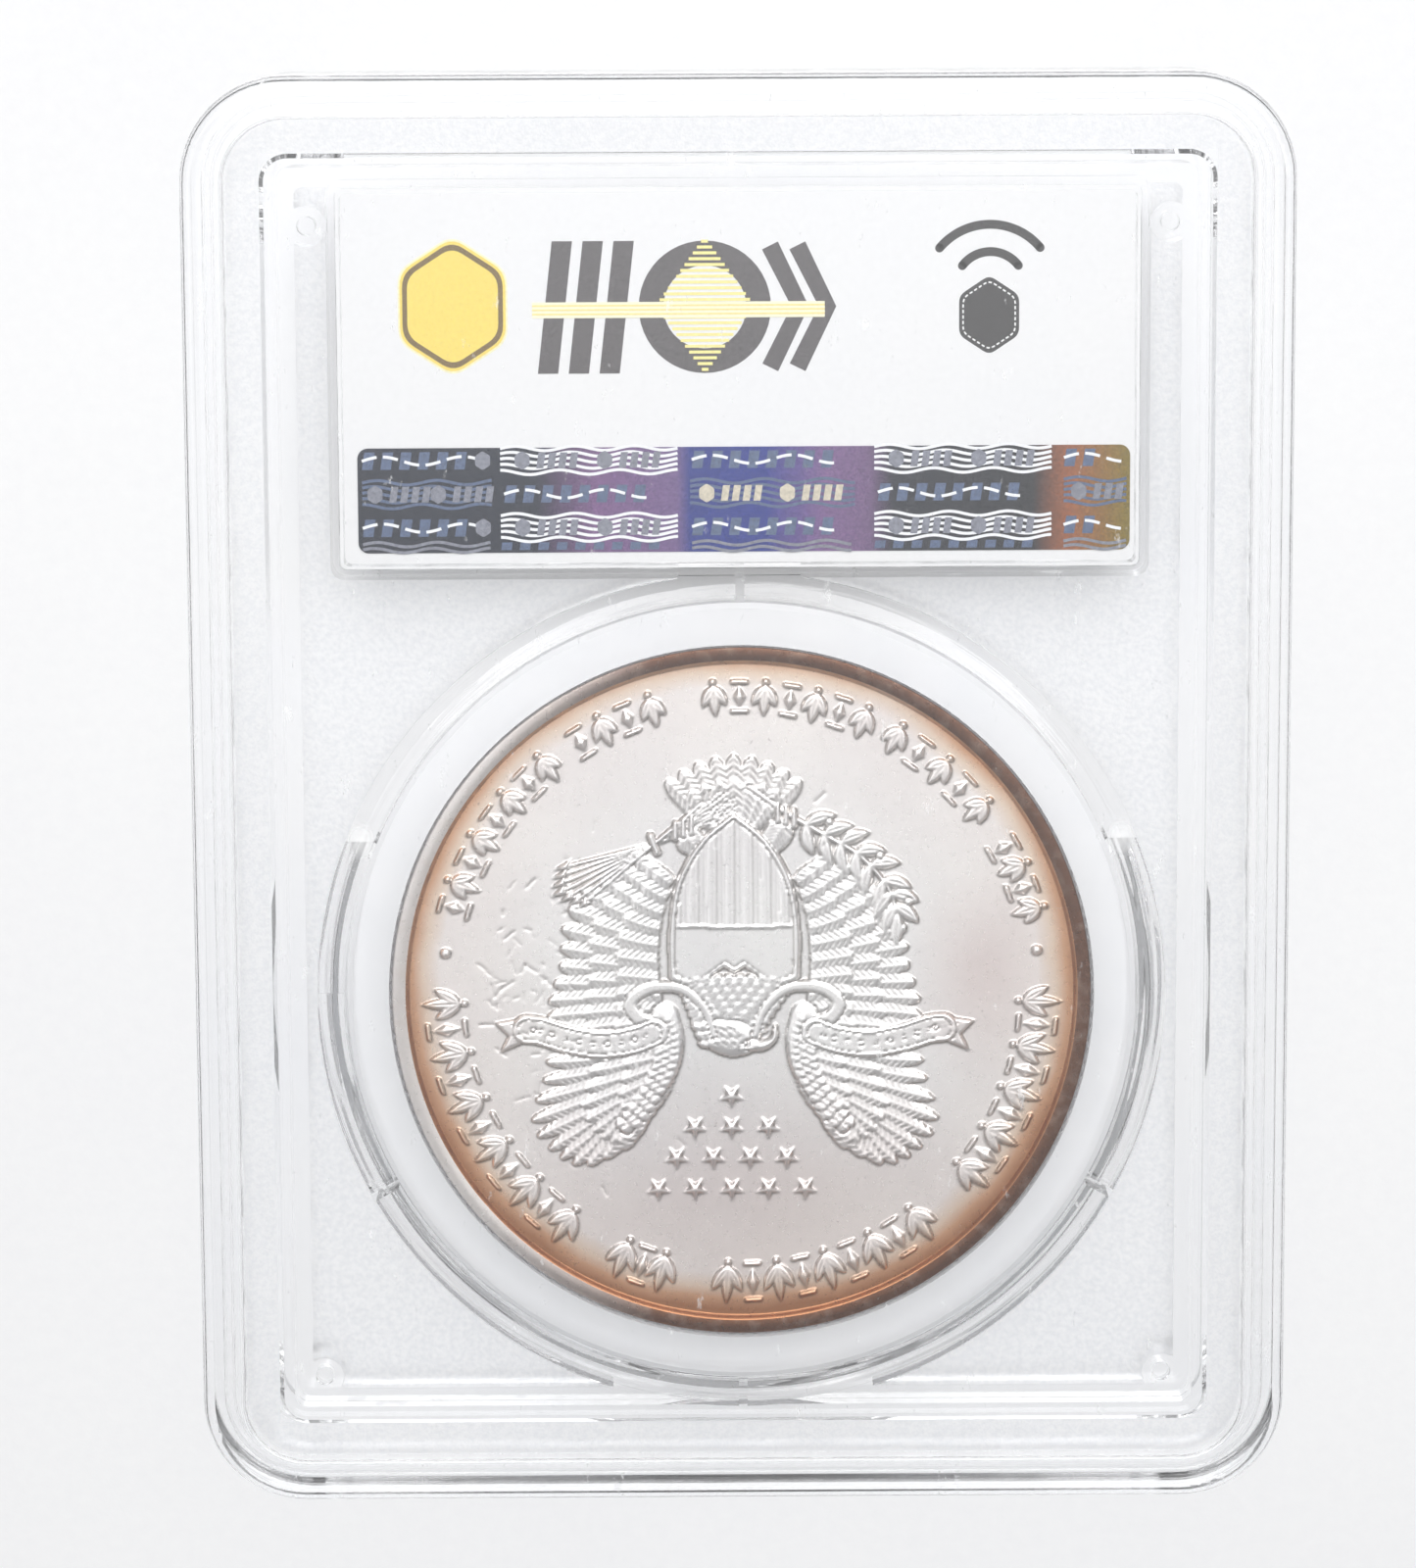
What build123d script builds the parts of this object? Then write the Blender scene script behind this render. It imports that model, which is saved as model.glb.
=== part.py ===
"""A sealed, tamper-evident coin holder: two clear polystyrene shells, ultrasonically welded round the edge.

The holder lies flat with its rear face up. +X is to the right, +Y is towards the label end and +Z is up.
The origin is at the middle of the face that it rests on, the foot ring of the front shell. Units are mm.
"""

from build123d import *

import math
import os

# Holder outline
WIDTH = 62.6
LENGTH = 82.2
HEIGHT = 8.5
CORNER_R = 6.0
SHARP_R = 0.5

# Steps across the edge of the holder, as distances in from the outer wall
TONGUE_OUT = 1.15
TONGUE_IN = 1.70
JOINT_GAP = 0.05
RIM_IN = 2.45
FOOT_OUT = 2.75
FOOT_IN = 4.20
BAND_IN = 4.40
CHAMBER_OUT = 5.20
CHAMBER_IN = 6.30

# Levels up from the foot ring
FOOT_H = 0.8
FRONT_PANEL_Z = 0.9
FRONT_INSIDE_Z = 2.3
PARTING_Z = 4.2
REAR_INSIDE_Z = 6.1
BAND_Z = 7.1
REAR_PANEL_Z = 7.5
TONGUE_TOP_Z = 5.25
GROOVE_TOP_Z = 5.40
SEAM_GAP = 0.08
WALL_GAP = 0.12
RIM_ROUND = 0.7
SMALL_ROUND = 0.25

# Coin and the round well that holds it
COIN_Y = -11.6
COIN_R = 20.3
COIN_T = 2.98
COIN_RIM_W = 1.15
COIN_RECESS = 0.36
COIN_CHAMFER = 0.18
REEDS = 180
REED_DEPTH = 0.12
RING_R = 22.7
RING_CHAMFER = 0.3
RING_PLAY = 0.05
WELL_IN_R = 22.9
WELL_OUT_R = 24.4
SLOT_W = 0.5
SLOT_ANGLES = (90, 209, 270, 331)
CRUSH_RIB_R = 0.5
CRUSH_RIB_ANGLES = (22, 158)

# Label pocket
LABEL_W = 45.5
LABEL_LOW_Y = 13.05
LABEL_HIGH_Y = 34.65
LABEL_CORNER_R = 0.4
CLAMP_W = 0.25
POCKET_GAP = 0.05
CLAMP_PLAY = 0.05
POCKET_WALL = 0.45
POCKET_CORNER_R = 0.8
CARD_T = 0.30
FILM_T = 0.05
ADHESIVE_T = 0.12
STRIP_T = 0.05
STRIP_W = 44.0
STRIP_L = 6.0
STRIP_X = 0.27
STRIP_Y = 16.9
STRIP_CORNER_R = 0.6

# Radio tag between the two label cards
COIL_W = 38.0
COIL_L = 15.0
COIL_TURNS = 4
COIL_PITCH = 0.9
TRACK_W = 0.45
TRACK_T = 0.03
CHIP_SIZE = 1.0
CHIP_CORNER_R = 0.1
CHIP_T = 0.09
INLAY_W = 43.0
INLAY_L = 19.0
INLAY_CORNER_R = 1.0

# Locating bosses in the four corners of the chamber
BOSS_R = 1.15
PIN_R = 0.50
PIN_GAP = 0.05
PIN_H = 1.2
BOSS_X = 24.35
BOSS_LOW_Y = -34.15
BOSS_HIGH_Y = 32.6

# How near a point must be to count as on a level or on an outline
NEAR = 0.01

# Only the weld bead joins the shells: the rims stop short of each other, and the inner walls by more
rear_rim_z = PARTING_Z + SEAM_GAP
rear_wall_z = PARTING_Z + WALL_GAP

label_y = (LABEL_LOW_Y + LABEL_HIGH_Y) / 2
label_l = LABEL_HIGH_Y - LABEL_LOW_Y
stack_t = 2 * CARD_T + FILM_T + ADHESIVE_T
front_card_z = PARTING_Z - stack_t / 2
film_z = front_card_z + CARD_T
adhesive_z = film_z + FILM_T
rear_card_z = adhesive_z + ADHESIVE_T
stack_top_z = rear_card_z + CARD_T
boss_places = [(sx * BOSS_X, y) for sx in (-1, 1) for y in (BOSS_LOW_Y, BOSS_HIGH_Y)]


def block(width, length, corner, low, high, x=0.0, y=0.0):
    """A rounded rectangular plate between two levels."""
    outline = Pos(x, y, low) * RectangleRounded(width, length, corner)
    return extrude(outline, amount=high - low)


def inset(distance, low, high):
    """A plate whose edge is a set distance in from the holder's outer wall."""
    corner = max(CORNER_R - distance, SHARP_R)
    return block(WIDTH - 2 * distance, LENGTH - 2 * distance, corner, low, high)


def band(outer, inner, low, high):
    """A closed frame that follows the holder's outline between two insets."""
    return inset(outer, low, high) - inset(inner, low, high)


def drum(radius, low, high, x=0.0, y=COIN_Y):
    """A round plate between two levels, on the coin's axis unless placed elsewhere."""
    return extrude(Pos(x, y, low) * Circle(radius), amount=high - low)


def flat_edges(solid, level, reach):
    """The level edges of a solid that follow the holder's outline at a set inset."""
    found = solid.edges().filter_by(Plane.XY).filter_by_position(Axis.Z, level - NEAR, level + NEAR)
    return [edge for edge in found if on_outline(edge, reach)]


def on_outline(edge, reach):
    """Whether the middle of an edge is on the rounded outline at a set inset."""
    point = edge.position_at(0.5)
    corner = max(CORNER_R - reach, SHARP_R)
    core_x = WIDTH / 2 - reach - corner
    core_y = LENGTH / 2 - reach - corner
    out_x = max(abs(point.X) - core_x, 0)
    out_y = max(abs(point.Y) - core_y, 0)
    return abs(math.hypot(out_x, out_y) - corner) < 2 * NEAR


def well_wall(low, high):
    """The round wall of the coin well, slotted through at four places, with two crush ribs inside."""
    wall = drum(WELL_OUT_R, low, high) - drum(WELL_IN_R, low, high)
    middle = (WELL_IN_R + WELL_OUT_R) / 2
    slot_l = 2 * (WELL_OUT_R - WELL_IN_R)
    for angle in SLOT_ANGLES:
        cut = Pos(0, COIN_Y, low) * Rot(0, 0, angle) * Pos(middle, 0, 0) * Rectangle(slot_l, SLOT_W)
        wall -= extrude(cut, amount=high - low)
    for angle in CRUSH_RIB_ANGLES:
        rib = Pos(0, COIN_Y, low) * Rot(0, 0, angle) * Pos(WELL_IN_R, 0, 0) * Circle(CRUSH_RIB_R)
        wall += extrude(rib, amount=high - low) - drum(RING_R, low, high)
    return wall


def pocket_wall(inside, low, high):
    """The rectangular wall round the label, with its inner face a set distance out from the card's edge."""
    outside = POCKET_GAP + POCKET_WALL
    outer = block(LABEL_W + 2 * outside, label_l + 2 * outside, POCKET_CORNER_R, low, high, y=label_y)
    inner = block(LABEL_W + 2 * inside, label_l + 2 * inside, LABEL_CORNER_R, low, high, y=label_y)
    return outer - inner


def boss(place, low, high):
    """A round locating boss in a corner of the chamber."""
    return drum(BOSS_R, low, high, *place)


def make_rear_shell():
    """The rear half: raised rim, stacking recess, window panel, chamber, well and pocket walls, sockets."""
    rim = inset(0, rear_rim_z, HEIGHT) - inset(RIM_IN, rear_rim_z, HEIGHT)
    rim = fillet(flat_edges(rim, HEIGHT, 0), RIM_ROUND)
    rim = fillet(flat_edges(rim, HEIGHT, RIM_IN), SMALL_ROUND)
    rim -= band(TONGUE_OUT - JOINT_GAP, TONGUE_IN + JOINT_GAP, rear_rim_z, GROOVE_TOP_Z)
    panel = inset(BAND_IN, REAR_INSIDE_Z, REAR_PANEL_Z)
    panel = chamfer(flat_edges(panel, REAR_PANEL_Z, BAND_IN), SMALL_ROUND)
    shell = rim + band(RIM_IN, BAND_IN, REAR_INSIDE_Z, BAND_Z) + panel
    shell += band(CHAMBER_OUT, CHAMBER_IN, rear_wall_z, REAR_INSIDE_Z)
    clamp_z = stack_top_z + CLAMP_PLAY
    shell += pocket_wall(-CLAMP_W, clamp_z, REAR_INSIDE_Z)
    shell += pocket_wall(POCKET_GAP, front_card_z + CLAMP_PLAY, clamp_z)
    shell += well_wall(rear_wall_z, REAR_INSIDE_Z)
    for place in boss_places:
        shell += boss(place, rear_wall_z, REAR_INSIDE_Z)
    for place in boss_places:
        shell -= drum(PIN_R + PIN_GAP, PARTING_Z, PARTING_Z + PIN_H + 2 * PIN_GAP, *place)
    # The coin's ring and the label stack keep their rooms clear of the walls that cross them
    shell -= drum(RING_R, PARTING_Z, REAR_INSIDE_Z)
    gap = 2 * POCKET_GAP
    shell -= block(LABEL_W + gap, label_l + gap, LABEL_CORNER_R, front_card_z, clamp_z, y=label_y)
    return shell


def make_front_shell():
    """The front half: rim, foot ring, window panel, chamber and well walls, label ledge, tongue and pins."""
    rim = inset(0, FOOT_H, PARTING_Z)
    rim = fillet(flat_edges(rim, FOOT_H, 0), RIM_ROUND)
    shell = rim - inset(RIM_IN, FRONT_INSIDE_Z, PARTING_Z)
    shell -= inset(BAND_IN, 0, FRONT_PANEL_Z)
    shell += band(FOOT_OUT, FOOT_IN, 0, FOOT_H)
    shell += band(TONGUE_OUT, TONGUE_IN, PARTING_Z, TONGUE_TOP_Z)
    shell += band(CHAMBER_OUT, CHAMBER_IN, FRONT_INSIDE_Z, PARTING_Z)
    shell += well_wall(FRONT_INSIDE_Z, PARTING_Z)
    for place in boss_places:
        shell += boss(place, FRONT_INSIDE_Z, PARTING_Z)
        shell += drum(PIN_R, PARTING_Z, PARTING_Z + PIN_H, *place)
    wide = 2 * (POCKET_GAP + POCKET_WALL)
    shell -= block(LABEL_W + wide, label_l + wide, POCKET_CORNER_R, front_card_z, PARTING_Z, y=label_y)
    shell += pocket_wall(-CLAMP_W, FRONT_INSIDE_Z, front_card_z)
    return shell


def make_weld_seam():
    """The bead of melted and re-set polystyrene between the tongue's tip and the bottom of its groove."""
    return band(TONGUE_OUT, TONGUE_IN, TONGUE_TOP_Z, GROOVE_TOP_Z)


def make_coin_ring():
    """The clear ring that grips the coin's edge, chamfered where it slides into the well."""
    low, high = FRONT_INSIDE_Z + RING_PLAY, REAR_INSIDE_Z - RING_PLAY
    profile = Polyline(
        (COIN_R, low),
        (RING_R - RING_CHAMFER, low),
        (RING_R, low + RING_CHAMFER),
        (RING_R, high - RING_CHAMFER),
        (RING_R - RING_CHAMFER, high),
        (COIN_R, high),
        close=True,
    )
    return Pos(0, COIN_Y, 0) * revolve(Plane.XZ * make_face(profile), Axis.Z)


def make_coin():
    """The struck coin: a reeded edge, a raised and chamfered rim, and a field sunk below it on each side."""
    low, high = PARTING_Z - COIN_T / 2, PARTING_Z + COIN_T / 2
    teeth = []
    for step in range(2 * REEDS):
        radius = COIN_R - REED_DEPTH * (step % 2)
        angle = math.tau * step / (2 * REEDS)
        teeth.append((radius * math.cos(angle), COIN_Y + radius * math.sin(angle)))
    blank = extrude(Pos(0, 0, low) * make_face(Polyline(*teeth, close=True)), amount=COIN_T)
    slope = COIN_CHAMFER / 2
    profile = Polyline(
        (0, low),
        (COIN_R - COIN_CHAMFER, low),
        (COIN_R, low + slope),
        (COIN_R, high - slope),
        (COIN_R - COIN_CHAMFER, high),
        (0, high),
        close=True,
    )
    chamfered = revolve(Plane.XZ * make_face(profile), Axis.Z)
    coin = blank & (Pos(0, COIN_Y, 0) * chamfered)
    field_r = COIN_R - COIN_RIM_W
    coin -= drum(field_r, low, low + COIN_RECESS)
    coin -= drum(field_r, high - COIN_RECESS, high)
    return coin


def card(low):
    """One printed label card."""
    return block(LABEL_W, label_l, LABEL_CORNER_R, low, low + CARD_T, y=label_y)


def coil_corners():
    """The corners of the antenna's centre line, a rectangular spiral that winds inwards from the top left."""
    corners = []
    for turn in range(COIL_TURNS):
        half_w = COIL_W / 2 - turn * COIL_PITCH
        half_l = COIL_L / 2 - turn * COIL_PITCH
        start_l = half_l + COIL_PITCH if turn else half_l
        corners.append((-half_w, label_y + start_l))
        corners.append((-half_w, label_y - half_l))
        corners.append((half_w, label_y - half_l))
        corners.append((half_w, label_y + half_l))
    return corners


def make_inlay_antenna():
    """The etched aluminium antenna: one track that follows the spiral."""
    outline = trace(Polyline(*coil_corners()), line_width=TRACK_W)
    return extrude(Pos(0, 0, adhesive_z) * outline, amount=TRACK_T)


def make_inlay_chip():
    """The radio chip, bonded on the bottom run of the innermost turn."""
    y = label_y - COIL_L / 2 + (COIL_TURNS - 1) * COIL_PITCH
    low = adhesive_z + TRACK_T
    return block(CHIP_SIZE, CHIP_SIZE, CHIP_CORNER_R, low, low + CHIP_T, y=y)


def make_inlay_adhesive():
    """The adhesive that fills the space round the antenna and chip and holds the cards together."""
    layer = block(INLAY_W, INLAY_L, INLAY_CORNER_R, adhesive_z, rear_card_z, y=label_y)
    return layer - make_inlay_antenna() - make_inlay_chip()


def make_parts():
    """Every separate piece, by the name of its node."""
    film = block(INLAY_W, INLAY_L, INLAY_CORNER_R, film_z, adhesive_z, y=label_y)
    strip = block(
        STRIP_W, STRIP_L, STRIP_CORNER_R, stack_top_z, stack_top_z + STRIP_T, STRIP_X, STRIP_Y
    )
    return {
        "front_shell": make_front_shell(),
        "rear_shell": make_rear_shell(),
        "weld_seam": make_weld_seam(),
        "coin_ring": make_coin_ring(),
        "coin": make_coin(),
        "front_label": card(front_card_z),
        "inlay_film": film,
        "inlay_antenna": make_inlay_antenna(),
        "inlay_chip": make_inlay_chip(),
        "inlay_adhesive": make_inlay_adhesive(),
        "rear_label": card(rear_card_z),
        "hologram_strip": strip,
    }


os.makedirs("parts", exist_ok=True)
for name, piece in make_parts().items():
    export_step(piece, f"parts/{name}.step")
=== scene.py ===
"""Looks of a sealed coin holder, rear face up on white paper: clear shells, struck coin, printed label."""

import math

import bpy
import numpy as np
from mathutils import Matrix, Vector


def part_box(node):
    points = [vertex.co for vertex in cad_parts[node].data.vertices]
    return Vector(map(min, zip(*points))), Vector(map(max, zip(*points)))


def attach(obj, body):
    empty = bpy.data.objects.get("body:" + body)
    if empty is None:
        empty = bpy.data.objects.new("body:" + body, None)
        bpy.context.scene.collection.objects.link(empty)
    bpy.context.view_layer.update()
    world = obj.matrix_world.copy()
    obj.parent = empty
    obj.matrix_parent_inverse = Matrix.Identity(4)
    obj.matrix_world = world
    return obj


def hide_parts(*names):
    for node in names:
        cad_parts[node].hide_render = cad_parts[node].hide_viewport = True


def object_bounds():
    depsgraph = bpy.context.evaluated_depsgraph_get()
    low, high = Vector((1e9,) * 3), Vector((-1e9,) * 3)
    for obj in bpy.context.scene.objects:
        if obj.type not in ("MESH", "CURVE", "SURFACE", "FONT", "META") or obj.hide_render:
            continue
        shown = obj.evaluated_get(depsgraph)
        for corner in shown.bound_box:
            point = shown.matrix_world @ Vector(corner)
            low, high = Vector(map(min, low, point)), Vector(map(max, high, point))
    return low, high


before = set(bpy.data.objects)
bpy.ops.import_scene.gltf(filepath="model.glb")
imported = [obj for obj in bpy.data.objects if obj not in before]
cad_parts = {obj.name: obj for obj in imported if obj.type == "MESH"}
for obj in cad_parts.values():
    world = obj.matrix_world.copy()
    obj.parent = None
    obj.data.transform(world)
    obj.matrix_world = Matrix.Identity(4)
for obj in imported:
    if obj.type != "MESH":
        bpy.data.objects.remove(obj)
cad_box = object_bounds()

MM = 0.001

# Camera and light, in mm round the object's own origin
CAMERA_AT = (-2.5, 49.8, 313.4)
CAMERA_TURN = (-9.092, -0.166, -0.298)
CAMERA_LENS = 124.7
FLOOR_SIZE = 1600
SOFTBOX_AT = (20, 230, 330)
SOFTBOX_SIZE = (500, 380)
SOFTBOX_POWER = 1.30
FILL_AT = (-420, -120, 480)
FILL_SIZE = (420, 420)
FILL_POWER = 0.14

# Sky: pairs of height above the horizon and share of the ceiling's brightness
CEILING = 0.87
SKY_TINT = (0.985, 0.99, 1.0, 1)
SKY_STEPS = ((0.0, 0.46), (0.12, 0.42), (0.35, 0.15), (0.87, 1.0))
# Patches of it: degrees to the right and to the label end, inner and outer radius, and how bright
SKY_PATCHES = ((4.0, -34.0, 18.0, 27.0, 0.42), (0.0, 7.0, 6.0, 14.0, 1.8))

# Steps across the holder's edge, in from its outer wall, and how far they lie below its top
RIM_IN = 2.45
BAND_IN = 4.40
CHAMBER_IN = 6.30
BAND_DROP = 1.40
WALL_T = 1.40
FACE_DROP = 1.00

# Frosted parts: clear room round the label pocket and the ring, how far the front shell's floor lies
# below the ring, and how near to its level a surface has to be
POCKET_MARGIN = 0.3
WELL_MARGIN = 1.75
FRONT_FLOOR_DROP = 0.05
LEVEL_TOLERANCE = 0.03
EDGE_MARGIN = 0.05

# Bead where the two shells are welded together
CORNER_R = 6.0
BEAD_W = 0.55

# Wall of the coin well: where it ends, its crush ribs, and the flow lines in it
WELL_IN_R = 22.9
WELL_OUT_R = 24.4
WALL_END_Z = 4.26
RIB_X = 21.9
RIB_Y = 8.85
FLOW_ACROSS = 0.7
FLOW_ALONG = 14.0
FLOW_RISE = 8.0
RIDGE_RISE = 13.0

# Coin
COIN_TURN = 180.0
DESIGN_SHIFT = 0.4
REAR_GRID = 481
FRONT_GRID = 241
FIELD_DROP = 0.36
RIM_W = 1.15
REEDS = 180
REED_DEPTH = 0.11
CHAMFER = 0.16

# Clear plastic
CLEAR_TINT = (0.9985, 0.9990, 1.0)
CLEAR_GLOSS = 0.15
CLEAR_HAZE = 0.012
FROST_HAZE = 0.16
RING_HAZE = 0.45

# Printing
INK_T = 0.012


# ---------------------------------------------------------------- small tools

def box_mm(node):
    """A node's lowest and highest corners in mm."""
    low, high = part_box(node)
    return [c / MM for c in low], [c / MM for c in high]


HOLDER_LOW = [c / MM for c in cad_box[0]]
HOLDER_HIGH = [c / MM for c in cad_box[1]]
HALF_W = (HOLDER_HIGH[0] - HOLDER_LOW[0]) / 2
HALF_L = (HOLDER_HIGH[1] - HOLDER_LOW[1]) / 2
COIN_LOW, COIN_HIGH = box_mm("coin")
COIN_R = (COIN_HIGH[0] - COIN_LOW[0]) / 2
COIN_Y = (COIN_HIGH[1] + COIN_LOW[1]) / 2
BEAD_LOW, BEAD_HIGH = box_mm("weld_seam")
BEAD_IN = HALF_W - BEAD_HIGH[0]
RING_LOW, RING_HIGH = box_mm("coin_ring")
RING_R = (RING_HIGH[0] - RING_LOW[0]) / 2
WELL_R = RING_R + WELL_MARGIN
LABEL_LOW, LABEL_HIGH = box_mm("rear_label")
STRIP_LOW, STRIP_HIGH = box_mm("hologram_strip")
CARD_LOW = box_mm("front_label")[0]


def stand(name, data):
    """An object in the scene."""
    made = bpy.data.objects.new(name, data)
    bpy.context.scene.collection.objects.link(made)
    return made


def make_object(name, points, faces, material, smooth=False):
    """A mesh piece from points in mm, riding on the holder."""
    mesh = bpy.data.meshes.new(name)
    mesh.from_pydata((np.asarray(points, float) * MM).tolist(), [], faces)
    mesh.update()
    mesh.materials.append(material)
    if smooth:
        mesh.shade_smooth()
    piece = stand(name, mesh)
    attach(piece, "root")
    return piece


class Prisms:
    """Flat printed shapes, gathered as thin closed prisms into one piece."""

    def __init__(self, level, thickness=INK_T):
        self.level = level
        self.thickness = thickness
        self.points = []
        self.faces = []

    def outline(self, corners):
        """One simple polygon, its corners counterclockwise."""
        n, start = len(corners), len(self.points)
        for z in (self.level, self.level + self.thickness):
            self.points += [(x, y, z) for x, y in corners]
        self.faces.append([start + i for i in reversed(range(n))])
        self.faces.append([start + n + i for i in range(n)])
        for i in range(n):
            j = (i + 1) % n
            self.faces.append([start + i, start + j, start + n + j, start + n + i])

    def bar(self, left, low, right, high):
        """A level rectangle."""
        self.outline([(left, low), (right, low), (right, high), (left, high)])

    def strip(self, left, right, closed=False):
        """A band between two rows of points, the second on the right of the first as it runs."""
        n, start = len(left), len(self.points)
        for row, z in ((left, 0), (right, 0), (left, 1), (right, 1)):
            self.points += [(x, y, self.level + z * self.thickness) for x, y in row]
        a, b, c, d = (start + k * n for k in range(4))
        for i in range(n if closed else n - 1):
            j = (i + 1) % n
            self.faces.append([a + i, a + j, b + j, b + i])
            self.faces.append([c + i, d + i, d + j, c + j])
            self.faces.append([a + i, c + i, c + j, a + j])
            self.faces.append([b + i, b + j, d + j, d + i])
        if not closed:
            self.faces.append([a, b, d, c])
            k = n - 1
            self.faces.append([a + k, c + k, d + k, b + k])

    def line(self, path, width):
        """A stroke of one width along an open path."""
        path = np.asarray(path, float)
        run = np.gradient(path, axis=0)
        run /= np.linalg.norm(run, axis=1)[:, None]
        side = np.stack([-run[:, 1], run[:, 0]], 1) * width / 2
        self.strip((path + side).tolist(), (path - side).tolist())

    def make(self, name, material):
        piece = make_object(name, self.points, self.faces, material)
        return piece


def arc(centre, radius, start, end, steps=24):
    """Points along an arc, from one angle to another in degrees."""
    turn = np.radians(np.linspace(start, end, steps))
    return np.stack([centre[0] + radius * np.cos(turn), centre[1] + radius * np.sin(turn)], 1)


def polygon(centre, radii, sides, turn=0.0, stretch=1.0):
    """A regular polygon, or a star where two radii are given."""
    angles = [math.tau * i / sides + math.radians(turn) for i in range(sides)]
    sizes = [radii[i % len(radii)] for i in range(sides)]
    return [
        (centre[0] + r * math.cos(a), centre[1] + stretch * r * math.sin(a)) for r, a in zip(sizes, angles)
    ]


class Loop:
    """A closed path that can be read at any distance along it."""

    def __init__(self, path):
        self.path = np.array([*path, path[0]])
        self.steps = np.concatenate([[0], np.cumsum(np.hypot(*np.diff(self.path, axis=0).T))])
        self.length = self.steps[-1]

    def at(self, distances):
        return np.stack([np.interp(distances, self.steps, self.path[:, axis]) for axis in (0, 1)], 1)


def rounded(corners, radius, steps=5):
    """A polygon with its corners rounded."""
    found = []
    points = [Vector(c) for c in corners]
    for i, here in enumerate(points):
        before = (points[i - 1] - here).normalized()
        after = (points[(i + 1) % len(points)] - here).normalized()
        for k in range(steps + 1):
            t = k / steps
            start, end = here + before * radius, here + after * radius
            found.append(tuple(start * (1 - t) ** 2 + here * 2 * t * (1 - t) + end * t**2))
    return found


# ---------------------------------------------------------------- coin relief

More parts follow.
